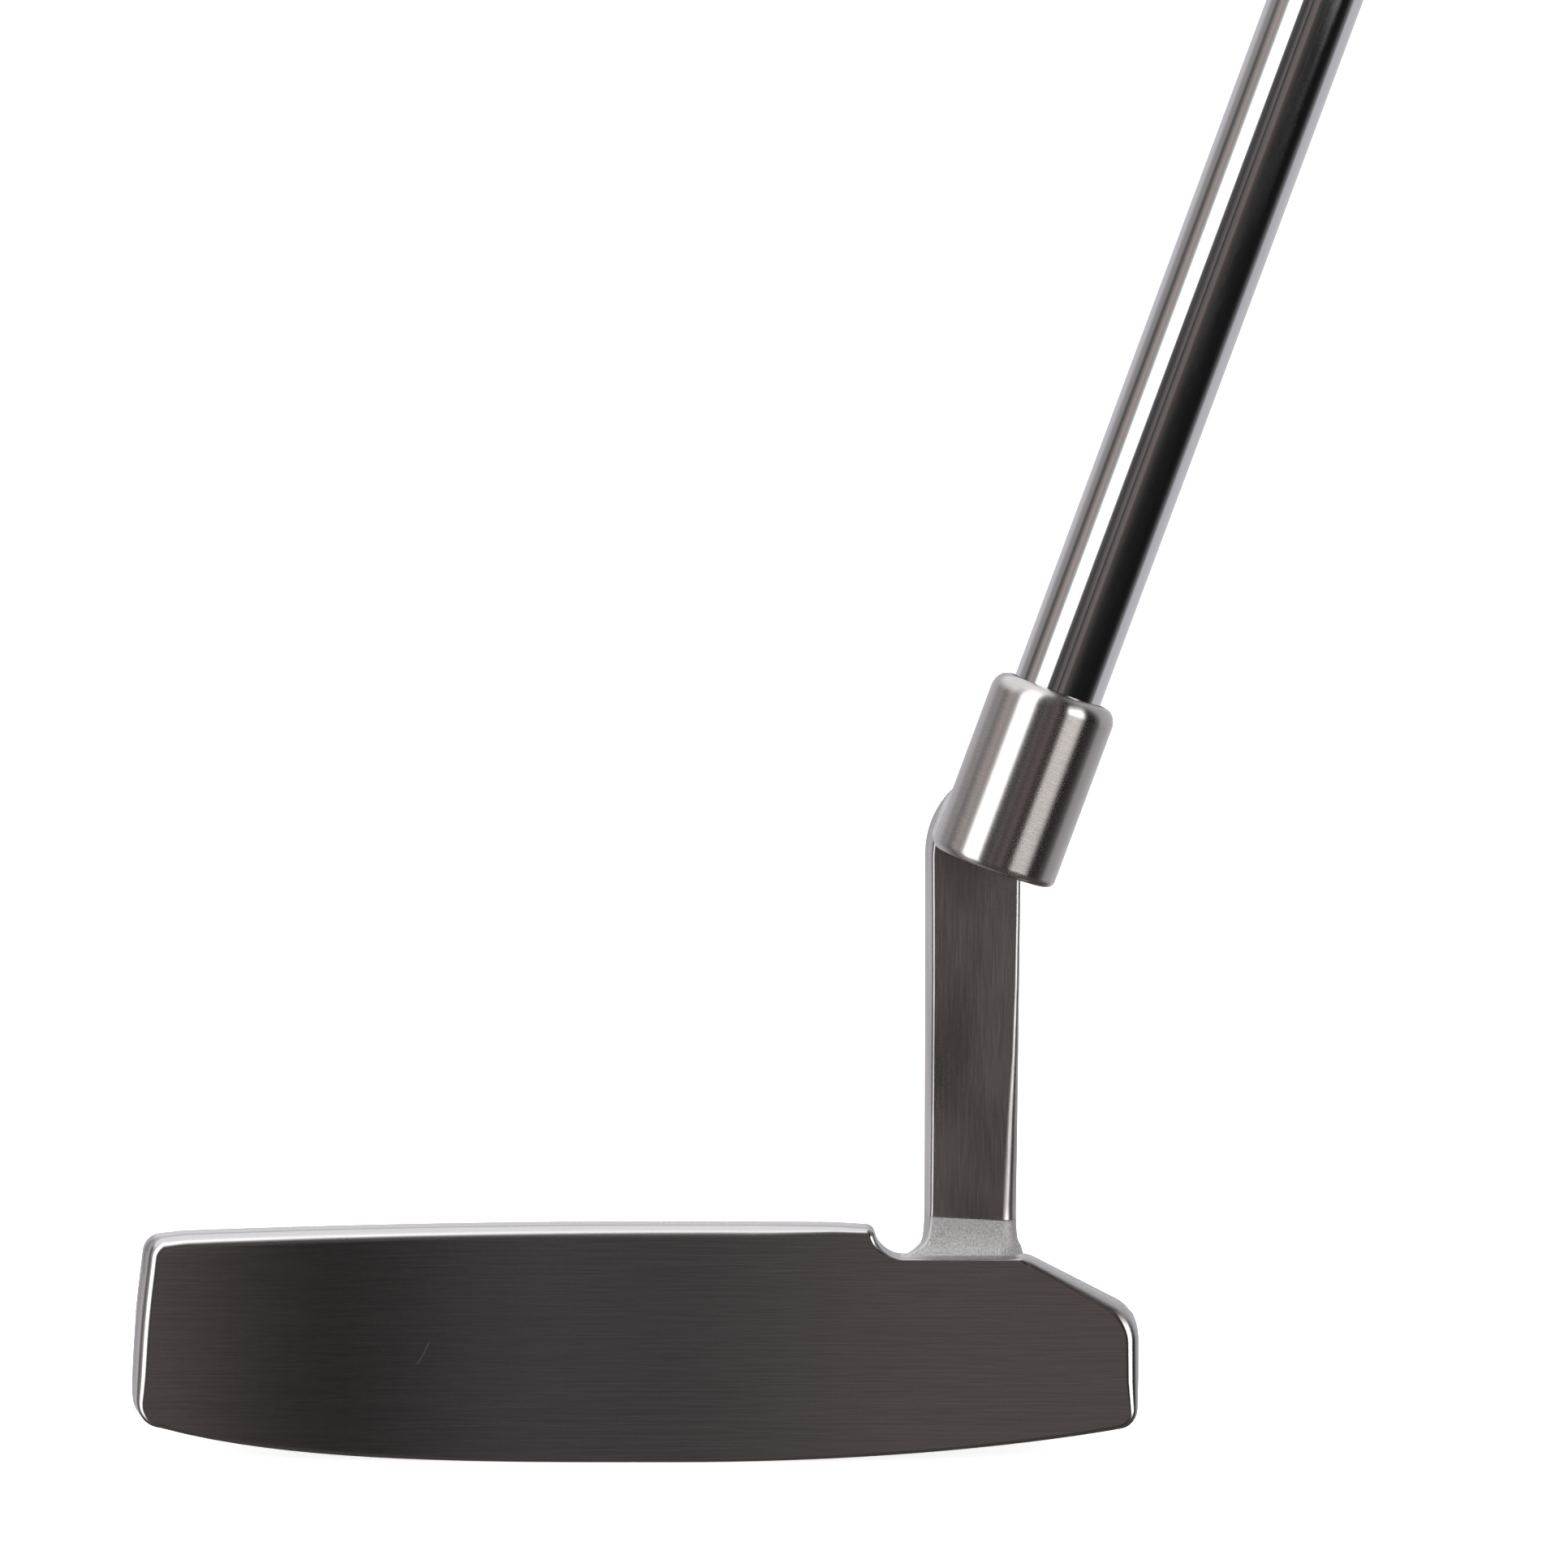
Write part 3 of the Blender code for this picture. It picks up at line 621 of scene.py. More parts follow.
neck = bmesh.new()
neck_width = NECK_HEEL_SIDE - NECK_TOE_SIDE
neck_depth = NECK_BACK - NECK_FRONT
neck_foot = NECK_LEVELS[0][0]
corners = (
    (NECK_TOE_SIDE + NECK_DRAFT, NECK_FRONT, 0.4),
    (NECK_HEEL_SIDE, NECK_FRONT, 1.9),
    (NECK_HEEL_SIDE, NECK_BACK, 1.3),
    (NECK_TOE_SIDE, NECK_BACK, 1.6),
)
neck.faces.new([neck.verts.new((x, y, neck_foot)) for x, y, rounding in corners])
for x, y, rounding in corners:
    round_corner(neck, (x, y, neck_foot), rounding, segments=6)
bar_x = neck.verts.layers.float.new("bar_x")
bar_y = neck.verts.layers.float.new("bar_y")
for vert in neck.verts:
    vert[bar_x] = vert.co.x
    vert[bar_y] = vert.co.y
section = neck.faces[:]
for place, (level, toe, front, heel, rear) in enumerate(NECK_LEVELS):
    if place:
        section, verts = push_face(neck, section, 0.0, keep=place == 1)
    # the front edge on the heel side is blended by hand, most near the foot
    low = min(max((NECK_BLEND_TOP - level) / NECK_BLEND_LENGTH, 0.0), 1.0)
    share = NECK_EDGE_SHARE + (1.0 - NECK_EDGE_SHARE) * low**2
    for vert in section[0].verts:
        x, y = tightened(vert[bar_x], vert[bar_y], share)
        to_heel = (x - NECK_TOE_SIDE) / neck_width
        to_back = (y - NECK_FRONT) / neck_depth
        vert.co.x = x - toe * (1.0 - to_heel) * (1.0 - to_back) + heel * to_heel
        vert.co.y = y - front * (1.0 - to_back) + rear * to_back
        vert.co.z = level
for step in range(1, NECK_BEND_STEPS + 1):
    angle = NECK_BEND_ANGLE * step / NECK_BEND_STEPS
    section, verts = push_face(neck, section, 0.0)
    elbow_angle = min(angle * NECK_ELBOW_HASTE, math.pi / 2.0)
    rounded_off = NECK_ELBOW_ROUND * (1.0 - math.cos(elbow_angle))
    for vert in verts:
        x, y = tightened(vert[bar_x], vert[bar_y], NECK_EDGE_SHARE)
        reach = NECK_BEND_RADIUS - (x - NECK_TOE_SIDE)
        to_back = (y - NECK_FRONT) / neck_depth
        vert.co.x = NECK_TOE_SIDE + NECK_BEND_RADIUS - reach * math.cos(angle)
        vert.co.y = y - rounded_off * to_back
        vert.co.z = NECK_BEND_START + reach * math.sin(angle)
bmesh.ops.remove_doubles(neck, verts=neck.verts, dist=1e-4)

linished_steel, tree, shader, coords = new_finish("linished_neck_steel")
parts = add_node(tree, "ShaderNodeSeparateXYZ", {"Vector": coords}).outputs
off_middle = sums(tree, "SUBTRACT", parts["X"], FINISH_LINE_MIDDLE * MM)
height = sums(tree, "ADD", parts["Z"], product(tree, off_middle, FINISH_LINE_SLANT))
line_foot = (FINISH_LINE - FINISH_LINE_HALF) * MM
line_head = (FINISH_LINE + FINISH_LINE_HALF) * MM
above = spread(tree, height, 0.0, 1.0, line_foot, line_head)
below = sums(tree, "SUBTRACT", 1.0, above)
blast = grain(tree, coords, (0.24, 0.24, 0.24), detail=3.0)
lines = grain(tree, coords, (0.14, 0.14, 4.0), detail=3.0)
patches = grain(tree, coords, (7.0, 7.0, 16.0), detail=1.0)
wear = spread(tree, share_out(tree, 0.4, lines, patches), 0.0, 1.0, 0.36, 0.64)
linished = tint(tree, wear, (0.25, 0.238, 0.238), (0.45, 0.43, 0.43))
blasted = tint(tree, spread(tree, blast, 0.0, 1.0), (0.38, 0.373, 0.377), (0.64, 0.63, 0.635))
steel_colour = tint(tree, above, blasted, linished)
steel_rough = spread(tree, above, spread(tree, blast, 0.5, 0.62), 0.27, 0.0, 1.0)
step_relief = bump(tree, above, 0.12)
grain_relief = bump(tree, product(tree, blast, below), 0.08, step_relief)
relief = bump(tree, product(tree, lines, above), 0.0003, grain_relief)
set_finish(tree, shader, steel_colour, steel_rough, relief, metallic=1.0)
finish_piece("head_neck", neck, linished_steel, "head_casting")

# --- Hosel -------------------------------------------------------------------------------
# The socket for the shaft, turned in the lathe on the neck of the same casting, so its
# polishing marks run round it. A saddle joins it to the bend of the neck behind.

SHAFT_LEAN = math.radians(20.25)
SHAFT_FOOT = Vector((14.5, -2.6, 0.0))
HOSEL_RADIUS = 7.0
HOSEL_BOTTOM = 70.3
HOSEL_TOP = 90.8
HOSEL_TOP_ROUND = 1.9
HOSEL_RIM_ROUND = 0.9
BORE_RADIUS = 5.5
BORE_BOTTOM = 71.6
BORE_LIP_ROUND = 0.15
SADDLE_LENGTH = 11.4
SADDLE_WIDTH = 8.6
SADDLE_HEIGHT = 8.4
SADDLE_REACH = 7.0
SADDLE_BEHIND = 3.9
SADDLE_ROUND = 4.4
ROUND_STEPS = 128
SHAFT_AXIS = (
    LEADING_EDGE
    @ Matrix.Translation(SHAFT_FOOT * MM)
    @ Matrix.Rotation(SHAFT_LEAN, 4, "Y")
)


def turned(profile):
    """A piece turned round its Z axis from (radius, height, rounding) corners."""
    bm = bmesh.new()
    verts = [bm.verts.new((radius, 0.0, height)) for radius, height, rounding in profile]
    for first, second in zip(verts, verts[1:] + verts[:1]):
        if (first.co - second.co).length > 1e-6 and not first.co.x == second.co.x == 0.0:
            bm.edges.new((first, second))
    for radius, height, rounding in profile:
        if rounding:
            round_corner(bm, (radius, 0.0, height), rounding)
    bmesh.ops.spin(
        bm,
        geom=bm.verts[:] + bm.edges[:],
        cent=(0.0, 0.0, 0.0),
        axis=(0.0, 0.0, 1.0),
        angle=2.0 * math.pi,
        steps=ROUND_STEPS,
        use_merge=True,
        use_duplicate=False,
    )
    bmesh.ops.remove_doubles(bm, verts=bm.verts, dist=1e-4)
    bmesh.ops.recalc_face_normals(bm, faces=bm.faces)
    return bm


def along_shaft(tree, coords):
    """Coordinates turned so that Z runs up the shaft, with its axis at X = Y = 0."""
    """Coordinates turned so that Z runs up the shaft, with its axis at X = Y = 0."""
    back_to_foot = (-SHAFT_FOOT.x * MM, (FACE_AHEAD - SHAFT_FOOT.y) * MM, 0.0)
    moved = add_node(tree, "ShaderNodeMapping", {"Vector": coords, "Location": back_to_foot})
    turned_back = add_node(
        tree,
        "ShaderNodeMapping",
        {"Vector": moved.outputs["Vector"], "Rotation": (0.0, -SHAFT_LEAN, 0.0)},
    )
    return turned_back.outputs["Vector"]


def brushed_round(name, dark, light, rough, anisotropy, relief_depth):
    """Steel polished in the lathe, with fine marks running round it."""
    material, tree, shader, coords = new_finish(name)
    coords = along_shaft(tree, coords)
    marks = grain(tree, coords, (1.4, 1.4, 0.09))
    colour = tint(tree, spread(tree, marks, 0.0, 1.0), dark, light)
    relief = bump(tree, marks, relief_depth)
    set_finish(tree, shader, colour, spread(tree, marks, *rough), relief, metallic=1.0)
    brush(tree, shader, anisotropy, (math.sin(SHAFT_LEAN), 0.0, math.cos(SHAFT_LEAN)))
    return material


hosel = turned(
    (
        (0.0, HOSEL_BOTTOM, 0.0),
        (HOSEL_RADIUS, HOSEL_BOTTOM, HOSEL_RIM_ROUND),
        (HOSEL_RADIUS, HOSEL_TOP, HOSEL_TOP_ROUND),
        (BORE_RADIUS, HOSEL_TOP, BORE_LIP_ROUND),
        (BORE_RADIUS, BORE_BOTTOM, 0.0),
        (0.0, BORE_BOTTOM, 0.0),
    )
)
hosel_steel = brushed_round(
    "turned_hosel_steel",
    dark=(0.45, 0.43, 0.42),
    light=(0.51, 0.49, 0.485),
    rough=(0.25, 0.28),
    anisotropy=0.93,
    relief_depth=0.0003,
)
finish_piece("head_hosel", hosel, hosel_steel, "head_casting", SHAFT_AXIS)

saddle = bmesh.new()
bmesh.ops.create_cube(saddle, size=1.0)
bmesh.ops.scale(saddle, verts=saddle.verts, vec=(SADDLE_LENGTH, SADDLE_WIDTH, SADDLE_HEIGHT))
saddle_top = HOSEL_BOTTOM + SADDLE_HEIGHT
saddle_back = SADDLE_BEHIND + SADDLE_WIDTH / 2.0
saddle_middle = (
    SADDLE_LENGTH / 2.0 - SADDLE_REACH,
    SADDLE_BEHIND,
    HOSEL_BOTTOM + SADDLE_HEIGHT / 2.0,
)
bmesh.ops.translate(saddle, verts=saddle.verts, vec=saddle_middle)
top_edges = []
for e in saddle.edges:
    middle = (e.verts[0].co + e.verts[1].co) / 2.0
    outer = middle.x < CLOSE - SADDLE_REACH or middle.y > saddle_back - CLOSE
    if outer and middle.z > saddle_top - CLOSE:
        top_edges.append(e)
round_over(saddle, top_edges, SADDLE_ROUND, 8)
foot_edges = [
    e for e in saddle.edges if max(e.verts[0].co.z, e.verts[1].co.z) < HOSEL_BOTTOM + CLOSE
]
round_over(saddle, foot_edges, HOSEL_RIM_ROUND, 5)
finish_piece("head_saddle", saddle, hosel_steel, "head_casting", SHAFT_AXIS)

# --- Shaft -------------------------------------------------------------------------------
# A stepped steel tube, drawn down from 14.8 mm at the butt to 9.9 mm at the tip in nine
# steps, then nickel and chrome plated and buffed to a mirror.

TIP_RADIUS = 4.93
BUTT_RADIUS = 7.4
SHAFT_TIP = 72.2
SHAFT_BUTT = 858.0
FIRST_STEP = 330.0
LAST_STEP = 574.0
STEP_COUNT = 9
STEP_CHAMFER = 1.2
TIP_WALL = 0.75
BUTT_WALL = 0.6

grow = (BUTT_RADIUS - TIP_RADIUS) / STEP_COUNT
outside = [(TIP_RADIUS, SHAFT_TIP, 0.1)]
for step in range(STEP_COUNT):
    height = FIRST_STEP + (LAST_STEP - FIRST_STEP) * step / (STEP_COUNT - 1)
    outside.append((TIP_RADIUS + grow * step, height, 0.4))
    outside.append((TIP_RADIUS + grow * (step + 1), height + STEP_CHAMFER, 0.4))
outside.append((BUTT_RADIUS, SHAFT_BUTT, 0.1))
bore = [
    (BUTT_RADIUS - BUTT_WALL, SHAFT_BUTT, 0.1),
    (BUTT_RADIUS - BUTT_WALL - grow, LAST_STEP + STEP_CHAMFER, 0.0),
    (TIP_RADIUS - TIP_WALL, FIRST_STEP, 0.0),
    (TIP_RADIUS - TIP_WALL, SHAFT_TIP, 0.1),
]
chrome, tree, shader, coords = new_finish("buffed_chrome")
coords = along_shaft(tree, coords)
wipes = grain(tree, coords, (1.2, 1.2, 30.0), detail=3.0)
rub = grain(tree, coords, (7.0, 7.0, 0.25), detail=3.0)
plate = tint(tree, spread(tree, wipes, 0.0, 1.0), (0.6, 0.6, 0.615), (0.66, 0.66, 0.67))
tree.links.new(plate, shader.inputs["Base Color"])
buff = bump(tree, rub, 0.0012)
set_finish(tree, shader, plate, spread(tree, wipes, 0.045, 0.085), buff, metallic=1.0)
finish_piece("stepped_shaft", turned(outside + bore), chrome, "shaft", SHAFT_AXIS)

# --- Epoxy, plug and tape ----------------------------------------------------------------
# What fixes the club together and hardly shows: the two-part epoxy round the tip, the cork
# pushed up the tip to keep it out of the tube, and the paper tape that holds the grip.


def node_finish(name, node, dark, light, rough, size, depth):
    """Give a CAD node that is kept as it is a grained finish."""
    material, tree, shader, coords = new_finish(name)
    specks = grain(tree, coords, size, detail=4.0)
    colour = tint(tree, spread(tree, specks, 0.0, 1.0), dark, light)
    set_finish(tree, shader, colour, spread(tree, specks, *rough), bump(tree, specks, depth))
    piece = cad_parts[node]
    piece.data.materials.clear()
    piece.data.materials.append(material)


node_finish(
    "cured_epoxy",
    "shaft_epoxy",
    dark=(0.1, 0.08, 0.05),
    light=(0.2, 0.16, 0.1),
    rough=(0.25, 0.4),
    size=(0.6, 0.6, 0.6),
    depth=0.02,
)
node_finish(
    "pressed_cork",
    "tip_plug",
    dark=(0.3, 0.19, 0.09),
    light=(0.58, 0.42, 0.24),
    rough=(0.75, 0.9),
    size=(0.7, 0.7, 0.7),
    depth=0.15,
)
node_finish(
    "crepe_paper",
    "grip_tape",
    dark=(0.62, 0.55, 0.4),
    light=(0.76, 0.7, 0.54),
    rough=(0.75, 0.85),
    size=(3.0, 3.0, 0.5),
    depth=0.06,
)

# --- Grip --------------------------------------------------------------------------------
# A paddle-shaped sleeve moulded in soft rubber, flat in front for the thumbs and fuller
# behind towards the butt. Fine moulded dimples cover its hands' length between two bands.

GRIP_BOTTOM = 604.0
GRIP_TOP = 860.4
GRIP_BORE = 7.9
GRIP_SECTIONS = (
    # share of the length, half width, flat before the axis, back behind it
    (0.0, 9.6, 9.4, 9.8),
    (0.012, 10.2, 9.9, 10.4),
    (0.25, 11.2, 10.7, 12.4),
    (0.55, 12.2, 11.4, 14.6),
    (0.8, 12.9, 12.0, 17.2),
    (0.94, 13.2, 12.3, 19.2),
    (0.985, 13.1, 12.2, 19.4),
    (1.0, 12.5, 11.7, 18.8),
)
GRIP_POINTS = 64
GRIP_FLAT_SHARE = 0.6
GRIP_LEVELS = 48
DIMPLE_COLUMNS = 34.0
DIMPLE_PITCH = 3.0 * MM
DIMPLES_START = (618.0 * MM, 619.0 * MM)
DIMPLES_END = (843.0 * MM, 844.0 * MM)


def grip_size(share):
    """Half width, flat and back of the grip at a share of its length."""
    for low, high in zip(GRIP_SECTIONS, GRIP_SECTIONS[1:]):
        if share <= high[0]:
            part = (share - low[0]) / (high[0] - low[0])
            return [a + (b - a) * part for a, b in zip(low[1:], high[1:])]
    return GRIP_SECTIONS[-1][1:]


def shape_ring(verts, turn_of, share, height, shrink=0.0):
    """Set a ring of the blank to the grip's section at a height."""
    half_width, flat, back = grip_size(share)
    front = flat / math.cos(math.asin(GRIP_FLAT_SHARE))
    corner = math.pi - math.asin(GRIP_FLAT_SHARE)
    for vert in verts:
        turn = vert[turn_of]
        deep = back if abs(turn) < math.pi / 2.0 else front
        if abs(turn) > corner:
            x = -flat
            y = half_width * GRIP_FLAT_SHARE * math.tan(math.pi - abs(turn))
            y = math.copysign(y / math.tan(math.pi - corner), turn)
        else:
            x = deep * math.cos(turn)
            y = half_width * math.sin(turn)
        size = 1.0 - shrink / math.hypot(x, y)
        vert.co = (x * size, y * size, height)


def next_ring(bm, ring):
    """Extrude a ring of edges; returns the new ring and its corners."""
    made = bmesh.ops.extrude_edge_only(bm, edges=ring)["geom"]
    ring = only(BMEdge, made)
    return ring, list({vert for e in ring for vert in e.verts})


# share of the length and how far the surface lies in: rounded ends and two sunk bands
grip_levels = [(0.0, 0.7), (0.0012, 0.3), (0.0035, 0.06), (0.007, 0.0), (0.02, 0.0)]
for band in (0.03, 0.955):
    grip_levels += [(band, 0.0), (band + 0.001, 0.3), (band + 0.0035, 0.45)]
    grip_levels += [(band + 0.006, 0.3), (band + 0.007, 0.0)]
grip_levels += [(0.05 + 0.0225 * step, 0.0) for step in range(40)]
grip_levels += [(0.985, 0.0), (0.994, 0.0), (0.998, 0.15), (1.0, 0.45)]
grip = bmesh.new()
turn_of = grip.verts.layers.float.new("turn")
bmesh.ops.create_circle(grip, cap_ends=False, segments=GRIP_POINTS, radius=GRIP_BORE)
for vert in grip.verts:
    vert[turn_of] = math.atan2(vert.co.y, vert.co.x)
    vert.co.z = GRIP_BOTTOM
first = grip.edges[:]
ring = first
for share, sunk in sorted(grip_levels):
    ring, verts = next_ring(grip, ring)
    shape_ring(verts, turn_of, share, GRIP_BOTTOM + (GRIP_TOP - GRIP_BOTTOM) * share, sunk)
ring, verts = next_ring(grip, ring)
for vert in verts:
    turn = vert[turn_of]
    vert.co = (GRIP_BORE * math.cos(turn), GRIP_BORE * math.sin(turn), GRIP_TOP)
bmesh.ops.bridge_loops(grip, edges=first + ring)

grip_rubber, tree, shader, coords = new_finish("moulded_rubber")
coords = along_shaft(tree, coords)
parts = add_node(tree, "ShaderNodeSeparateXYZ", {"Vector": coords}).outputs
round_angle = sums(tree, "ARCTAN2", parts["Y"], parts["X"])
columns = sums(tree, "SINE", product(tree, round_angle, DIMPLE_COLUMNS))
rows = sums(tree, "SINE", product(tree, parts["Z"], 2.0 * math.pi / DIMPLE_PITCH))
dimples = product(
    tree,
    spread(tree, product(tree, columns, rows), 0.0, 1.0, 0.15, 0.6),
    spread(tree, parts["Z"], 0.0, 1.0, *DIMPLES_START),
    spread(tree, parts["Z"], 1.0, 0.0, *DIMPLES_END),
)
skin = grain(tree, coords, (0.35, 0.35, 0.35), detail=3.0)
handled = grain(tree, coords, (14.0, 14.0, 40.0))
black = tint(tree, spread(tree, handled, 0.0, 1.0), (0.014, 0.014, 0.015), (0.03, 0.03, 0.031))
dimpled = bump(tree, dimples, -0.3, bump(tree, skin, 0.05))
set_finish(tree, shader, black, spread(tree, handled, 0.52, 0.7), dimpled)
finish_piece("grip_sleeve_rubber", grip, grip_rubber, "grip_sleeve", SHAFT_AXIS)

# --- Grip cap ----------------------------------------------------------------------------
# The harder moulded cap that closes the butt, with a raised rim and the hole that lets the
# air out while the grip slides down over wet tape.

CAP_GAP = 0.3
CAP_THICKNESS = 3.3
VENT_RADIUS = 1.6
cap = bmesh.new()
turn_of = cap.verts.layers.float.new("turn")
bmesh.ops.create_circle(cap, cap_ends=False, segments=GRIP_POINTS, radius=VENT_RADIUS)
for vert in cap.verts:
    vert[turn_of] = math.atan2(vert.co.y, vert.co.x)
    vert.co.z = GRIP_TOP + CAP_GAP
first = cap.edges[:]
ring = first
for rise, sunk in (
    (0.0, 0.45),
    (0.15, 0.12),
    (0.4, 0.0),
    (CAP_THICKNESS - 1.1, 0.0),
    (CAP_THICKNESS - 0.6, 0.15),
    (CAP_THICKNESS - 0.2, 0.5),
    (CAP_THICKNESS, 1.1),
    (CAP_THICKNESS, 2.0),
    (CAP_THICKNESS - 0.4, 2.4),
    (CAP_THICKNESS - 0.4, 5.0),
):
    ring, verts = next_ring(cap, ring)
    shape_ring(verts, turn_of, 1.0, GRIP_TOP + CAP_GAP + rise, sunk)
for radius, rise in ((VENT_RADIUS + 0.3, CAP_THICKNESS - 0.4), (VENT_RADIUS, CAP_THICKNESS - 0.7)):
    ring, verts = next_ring(cap, ring)
    for vert in verts:
        turn = vert[turn_of]
        vert.co = (radius * math.cos(turn), radius * math.sin(turn), GRIP_TOP + CAP_GAP + rise)
bmesh.ops.bridge_loops(cap, edges=first + ring)
cap_rubber, tree, shader, coords = new_finish("moulded_cap_rubber")
skin = grain(tree, coords, (0.5, 0.5, 0.5), detail=3.0)
black = tint(tree, spread(tree, skin, 0.0, 1.0), (0.02, 0.02, 0.021), (0.035, 0.035, 0.036))
set_finish(tree, shader, black, spread(tree, skin, 0.42, 0.56), bump(tree, skin, 0.03))
finish_piece("grip_end_cap", cap, cap_rubber, "grip_cap", SHAFT_AXIS)

# --- Studio ------------------------------------------------------------------------------
# A plain pale table, lit from below, under even white light. Polished steel shows what stands
# round it, so the room it reflects has one tall soft box at the left, dark cards in front and
# at the right, pale walls behind and a large soft box overhead.

FLOOR_RADIUS = 14.0
WHOLE_CIRCLE = (-180.0, 180.0)
DEGREES = 180.0 / math.pi
floor = bmesh.new()
bmesh.ops.create_circle(floor, cap_ends=True, segments=96, radius=FLOOR_RADIUS)
mesh = bpy.data.meshes.new("studio_floor")
floor.to_mesh(mesh)
floor.free()
floor = bpy.data.objects.new("studio_floor", mesh)
bpy.context.scene.collection.objects.link(floor)
floor.visible_glossy = False
paper, tree, shader, coords = new_finish("pale_paper")
fibre = grain(tree, coords, (4.0, 4.0, 4.0))
pale = tint(tree, spread(tree, fibre, 0.0, 1.0), (0.84, 0.84, 0.84), (0.86, 0.86, 0.86))
tree.links.new(pale, shader.inputs["Base Color"])
shader.inputs["Roughness"].default_value = 0.9
shader.inputs["Specular IOR Level"].default_value = 0.1
shader.inputs["Emission Color"].default_value = (1.0, 1.0, 1.0, 1.0)
shader.inputs["Emission Strength"].default_value = 0.8
mesh.materials.append(paper)

world = bpy.data.worlds.new("studio_room")
bpy.context.scene.world = world
world.use_nodes = True
world.cycles.sampling_method = "NONE"
tree = world.node_tree
tree.nodes.clear()
look = tree.nodes.new("ShaderNodeTexCoord").outputs["Generated"]
# the room is laid out round the leaning shaft: u to its right, w along it
turned_room = add_node(
    tree, "ShaderNodeMapping", {"Vector": look, "Rotation": (0.0, -SHAFT_LEAN, 0.0)}
)
room = add_node(tree, "ShaderNodeSeparateXYZ", {"Vector": turned_room.outputs["Vector"]}).outputs
ahead = product(tree, room["Y"], -1.0)
round_angle = product(tree, sums(tree, "ARCTAN2", room["X"], ahead), DEGREES)
across = spread(tree, round_angle, 0.0, 1.0, *WHOLE_CIRCLE)

# degrees round from the front (left negative), and what stands there
ROOM = (
    (-135, (0.70, 0.68, 0.72)),
    (-124, (0.42, 0.40, 0.40)),
    (-108, (0.36, 0.335, 0.33)),
    (-103, (0.15, 0.14, 0.138)),
    (-97, (0.14, 0.13, 0.128)),
    (-91, (0.29, 0.27, 0.26)),
    (-83, (0.50, 0.42, 0.38)),
    (-79, (0.50, 0.42, 0.38)),
    (-76, (0.38, 0.36, 0.35)),
    (-70, (0.50, 0.49, 0.485)),
    (-66, (0.80, 0.79, 0.785)),
    (-62, (3.0, 3.0, 3.0)),
    (-34, (3.0, 3.0, 3.0)),
    (-30, (0.14, 0.135, 0.14)),
    (-19, (0.07, 0.067, 0.068)),
    (-11, (0.19, 0.165, 0.165)),
    (-6.0, (0.16, 0.135, 0.132)),
    (-3.0, (0.10, 0.095, 0.098)),
    (-1.4, (0.10, 0.095, 0.098)),
    (0.2, (0.13, 0.115, 0.116)),
    (8, (0.26, 0.20, 0.19)),
    (13, (0.10, 0.088, 0.084)),
    (28, (0.032, 0.031, 0.032)),
    (39, (0.016, 0.016, 0.017)),
    (78, (0.011, 0.011, 0.012)),
    (87, (0.03, 0.028, 0.028)),
    (98, (0.20, 0.19, 0.19)),
    (106, (0.66, 0.65, 0.69)),
    (126, (0.67, 0.66, 0.69)),
    (154, (0.70, 0.69, 0.72)),
)


def bands(tree, factor, stops, start, end):
    """A colour for each stop, given as (angle, colour), from start to end."""
    made = add_node(tree, "ShaderNodeValToRGB", {"Fac": factor})
    elements = made.color_ramp.elements
    while len(elements) > 1:
        elements.remove(elements[-1])
    elements[0].position = (stops[0][0] - start) / (end - start)
    elements[0].color = (*stops[0][1], 1.0)
    for angle, colour in stops[1:]:
        elements.new((angle - start) / (end - start)).color = (*colour, 1.0)
    return made.outputs["Color"]


walls = bands(tree, across, ROOM, *WHOLE_CIRCLE)

world_parts = add_node(tree, "ShaderNodeSeparateXYZ", {"Vector": look}).outputs
front = product(tree, world_parts["Y"], -1.0)
# the tripod and its gap in the backdrop, which the flat face shows, stand upright in front
UPRIGHTS = (
    (-9.0, (0.19, 0.165, 0.165)),
    (-6.4, (0.23, 0.2, 0.2)),
    (-5.7, (0.165, 0.14, 0.14)),
    (-5.1, (0.06, 0.051, 0.052)),
    (-4.7, (0.003, 0.003, 0.003)),
    (-4.2, (0.003, 0.003, 0.003)),
    (-3.7, (0.07, 0.068, 0.07)),
    (-3.0, (0.12, 0.114, 0.117)),
    (-2.0, (0.15, 0.143, 0.149)),
    (-1.2, (0.09, 0.085, 0.088)),
    (-0.4, (0.14, 0.13, 0.134)),
    (0.6, (0.19, 0.167, 0.167)),
    (3.0, (0.2, 0.177, 0.176)),
    (6.0, (0.21, 0.18, 0.176)),
)
UPRIGHTS_FROM = -10.0
UPRIGHTS_TO = 8.0
bearing = product(tree, sums(tree, "ARCTAN2", world_parts["X"], front), DEGREES)
along_uprights = spread(tree, bearing, 0.0, 1.0, UPRIGHTS_FROM, UPRIGHTS_TO)
uprights = bands(tree, along_uprights, UPRIGHTS, UPRIGHTS_FROM, UPRIGHTS_TO)
in_front = product(
    tree,
    spread(tree, bearing, 0.0, 1.0, -10.0, -8.5),
    spread(tree, bearing, 1.0, 0.0, 5.0, 7.0),
    spread(tree, sums(tree, "ABSOLUTE", world_parts["Z"]), 1.0, 0.0, 0.2, 0.3),
)
walls = tint(tree, in_front, walls, uprights)
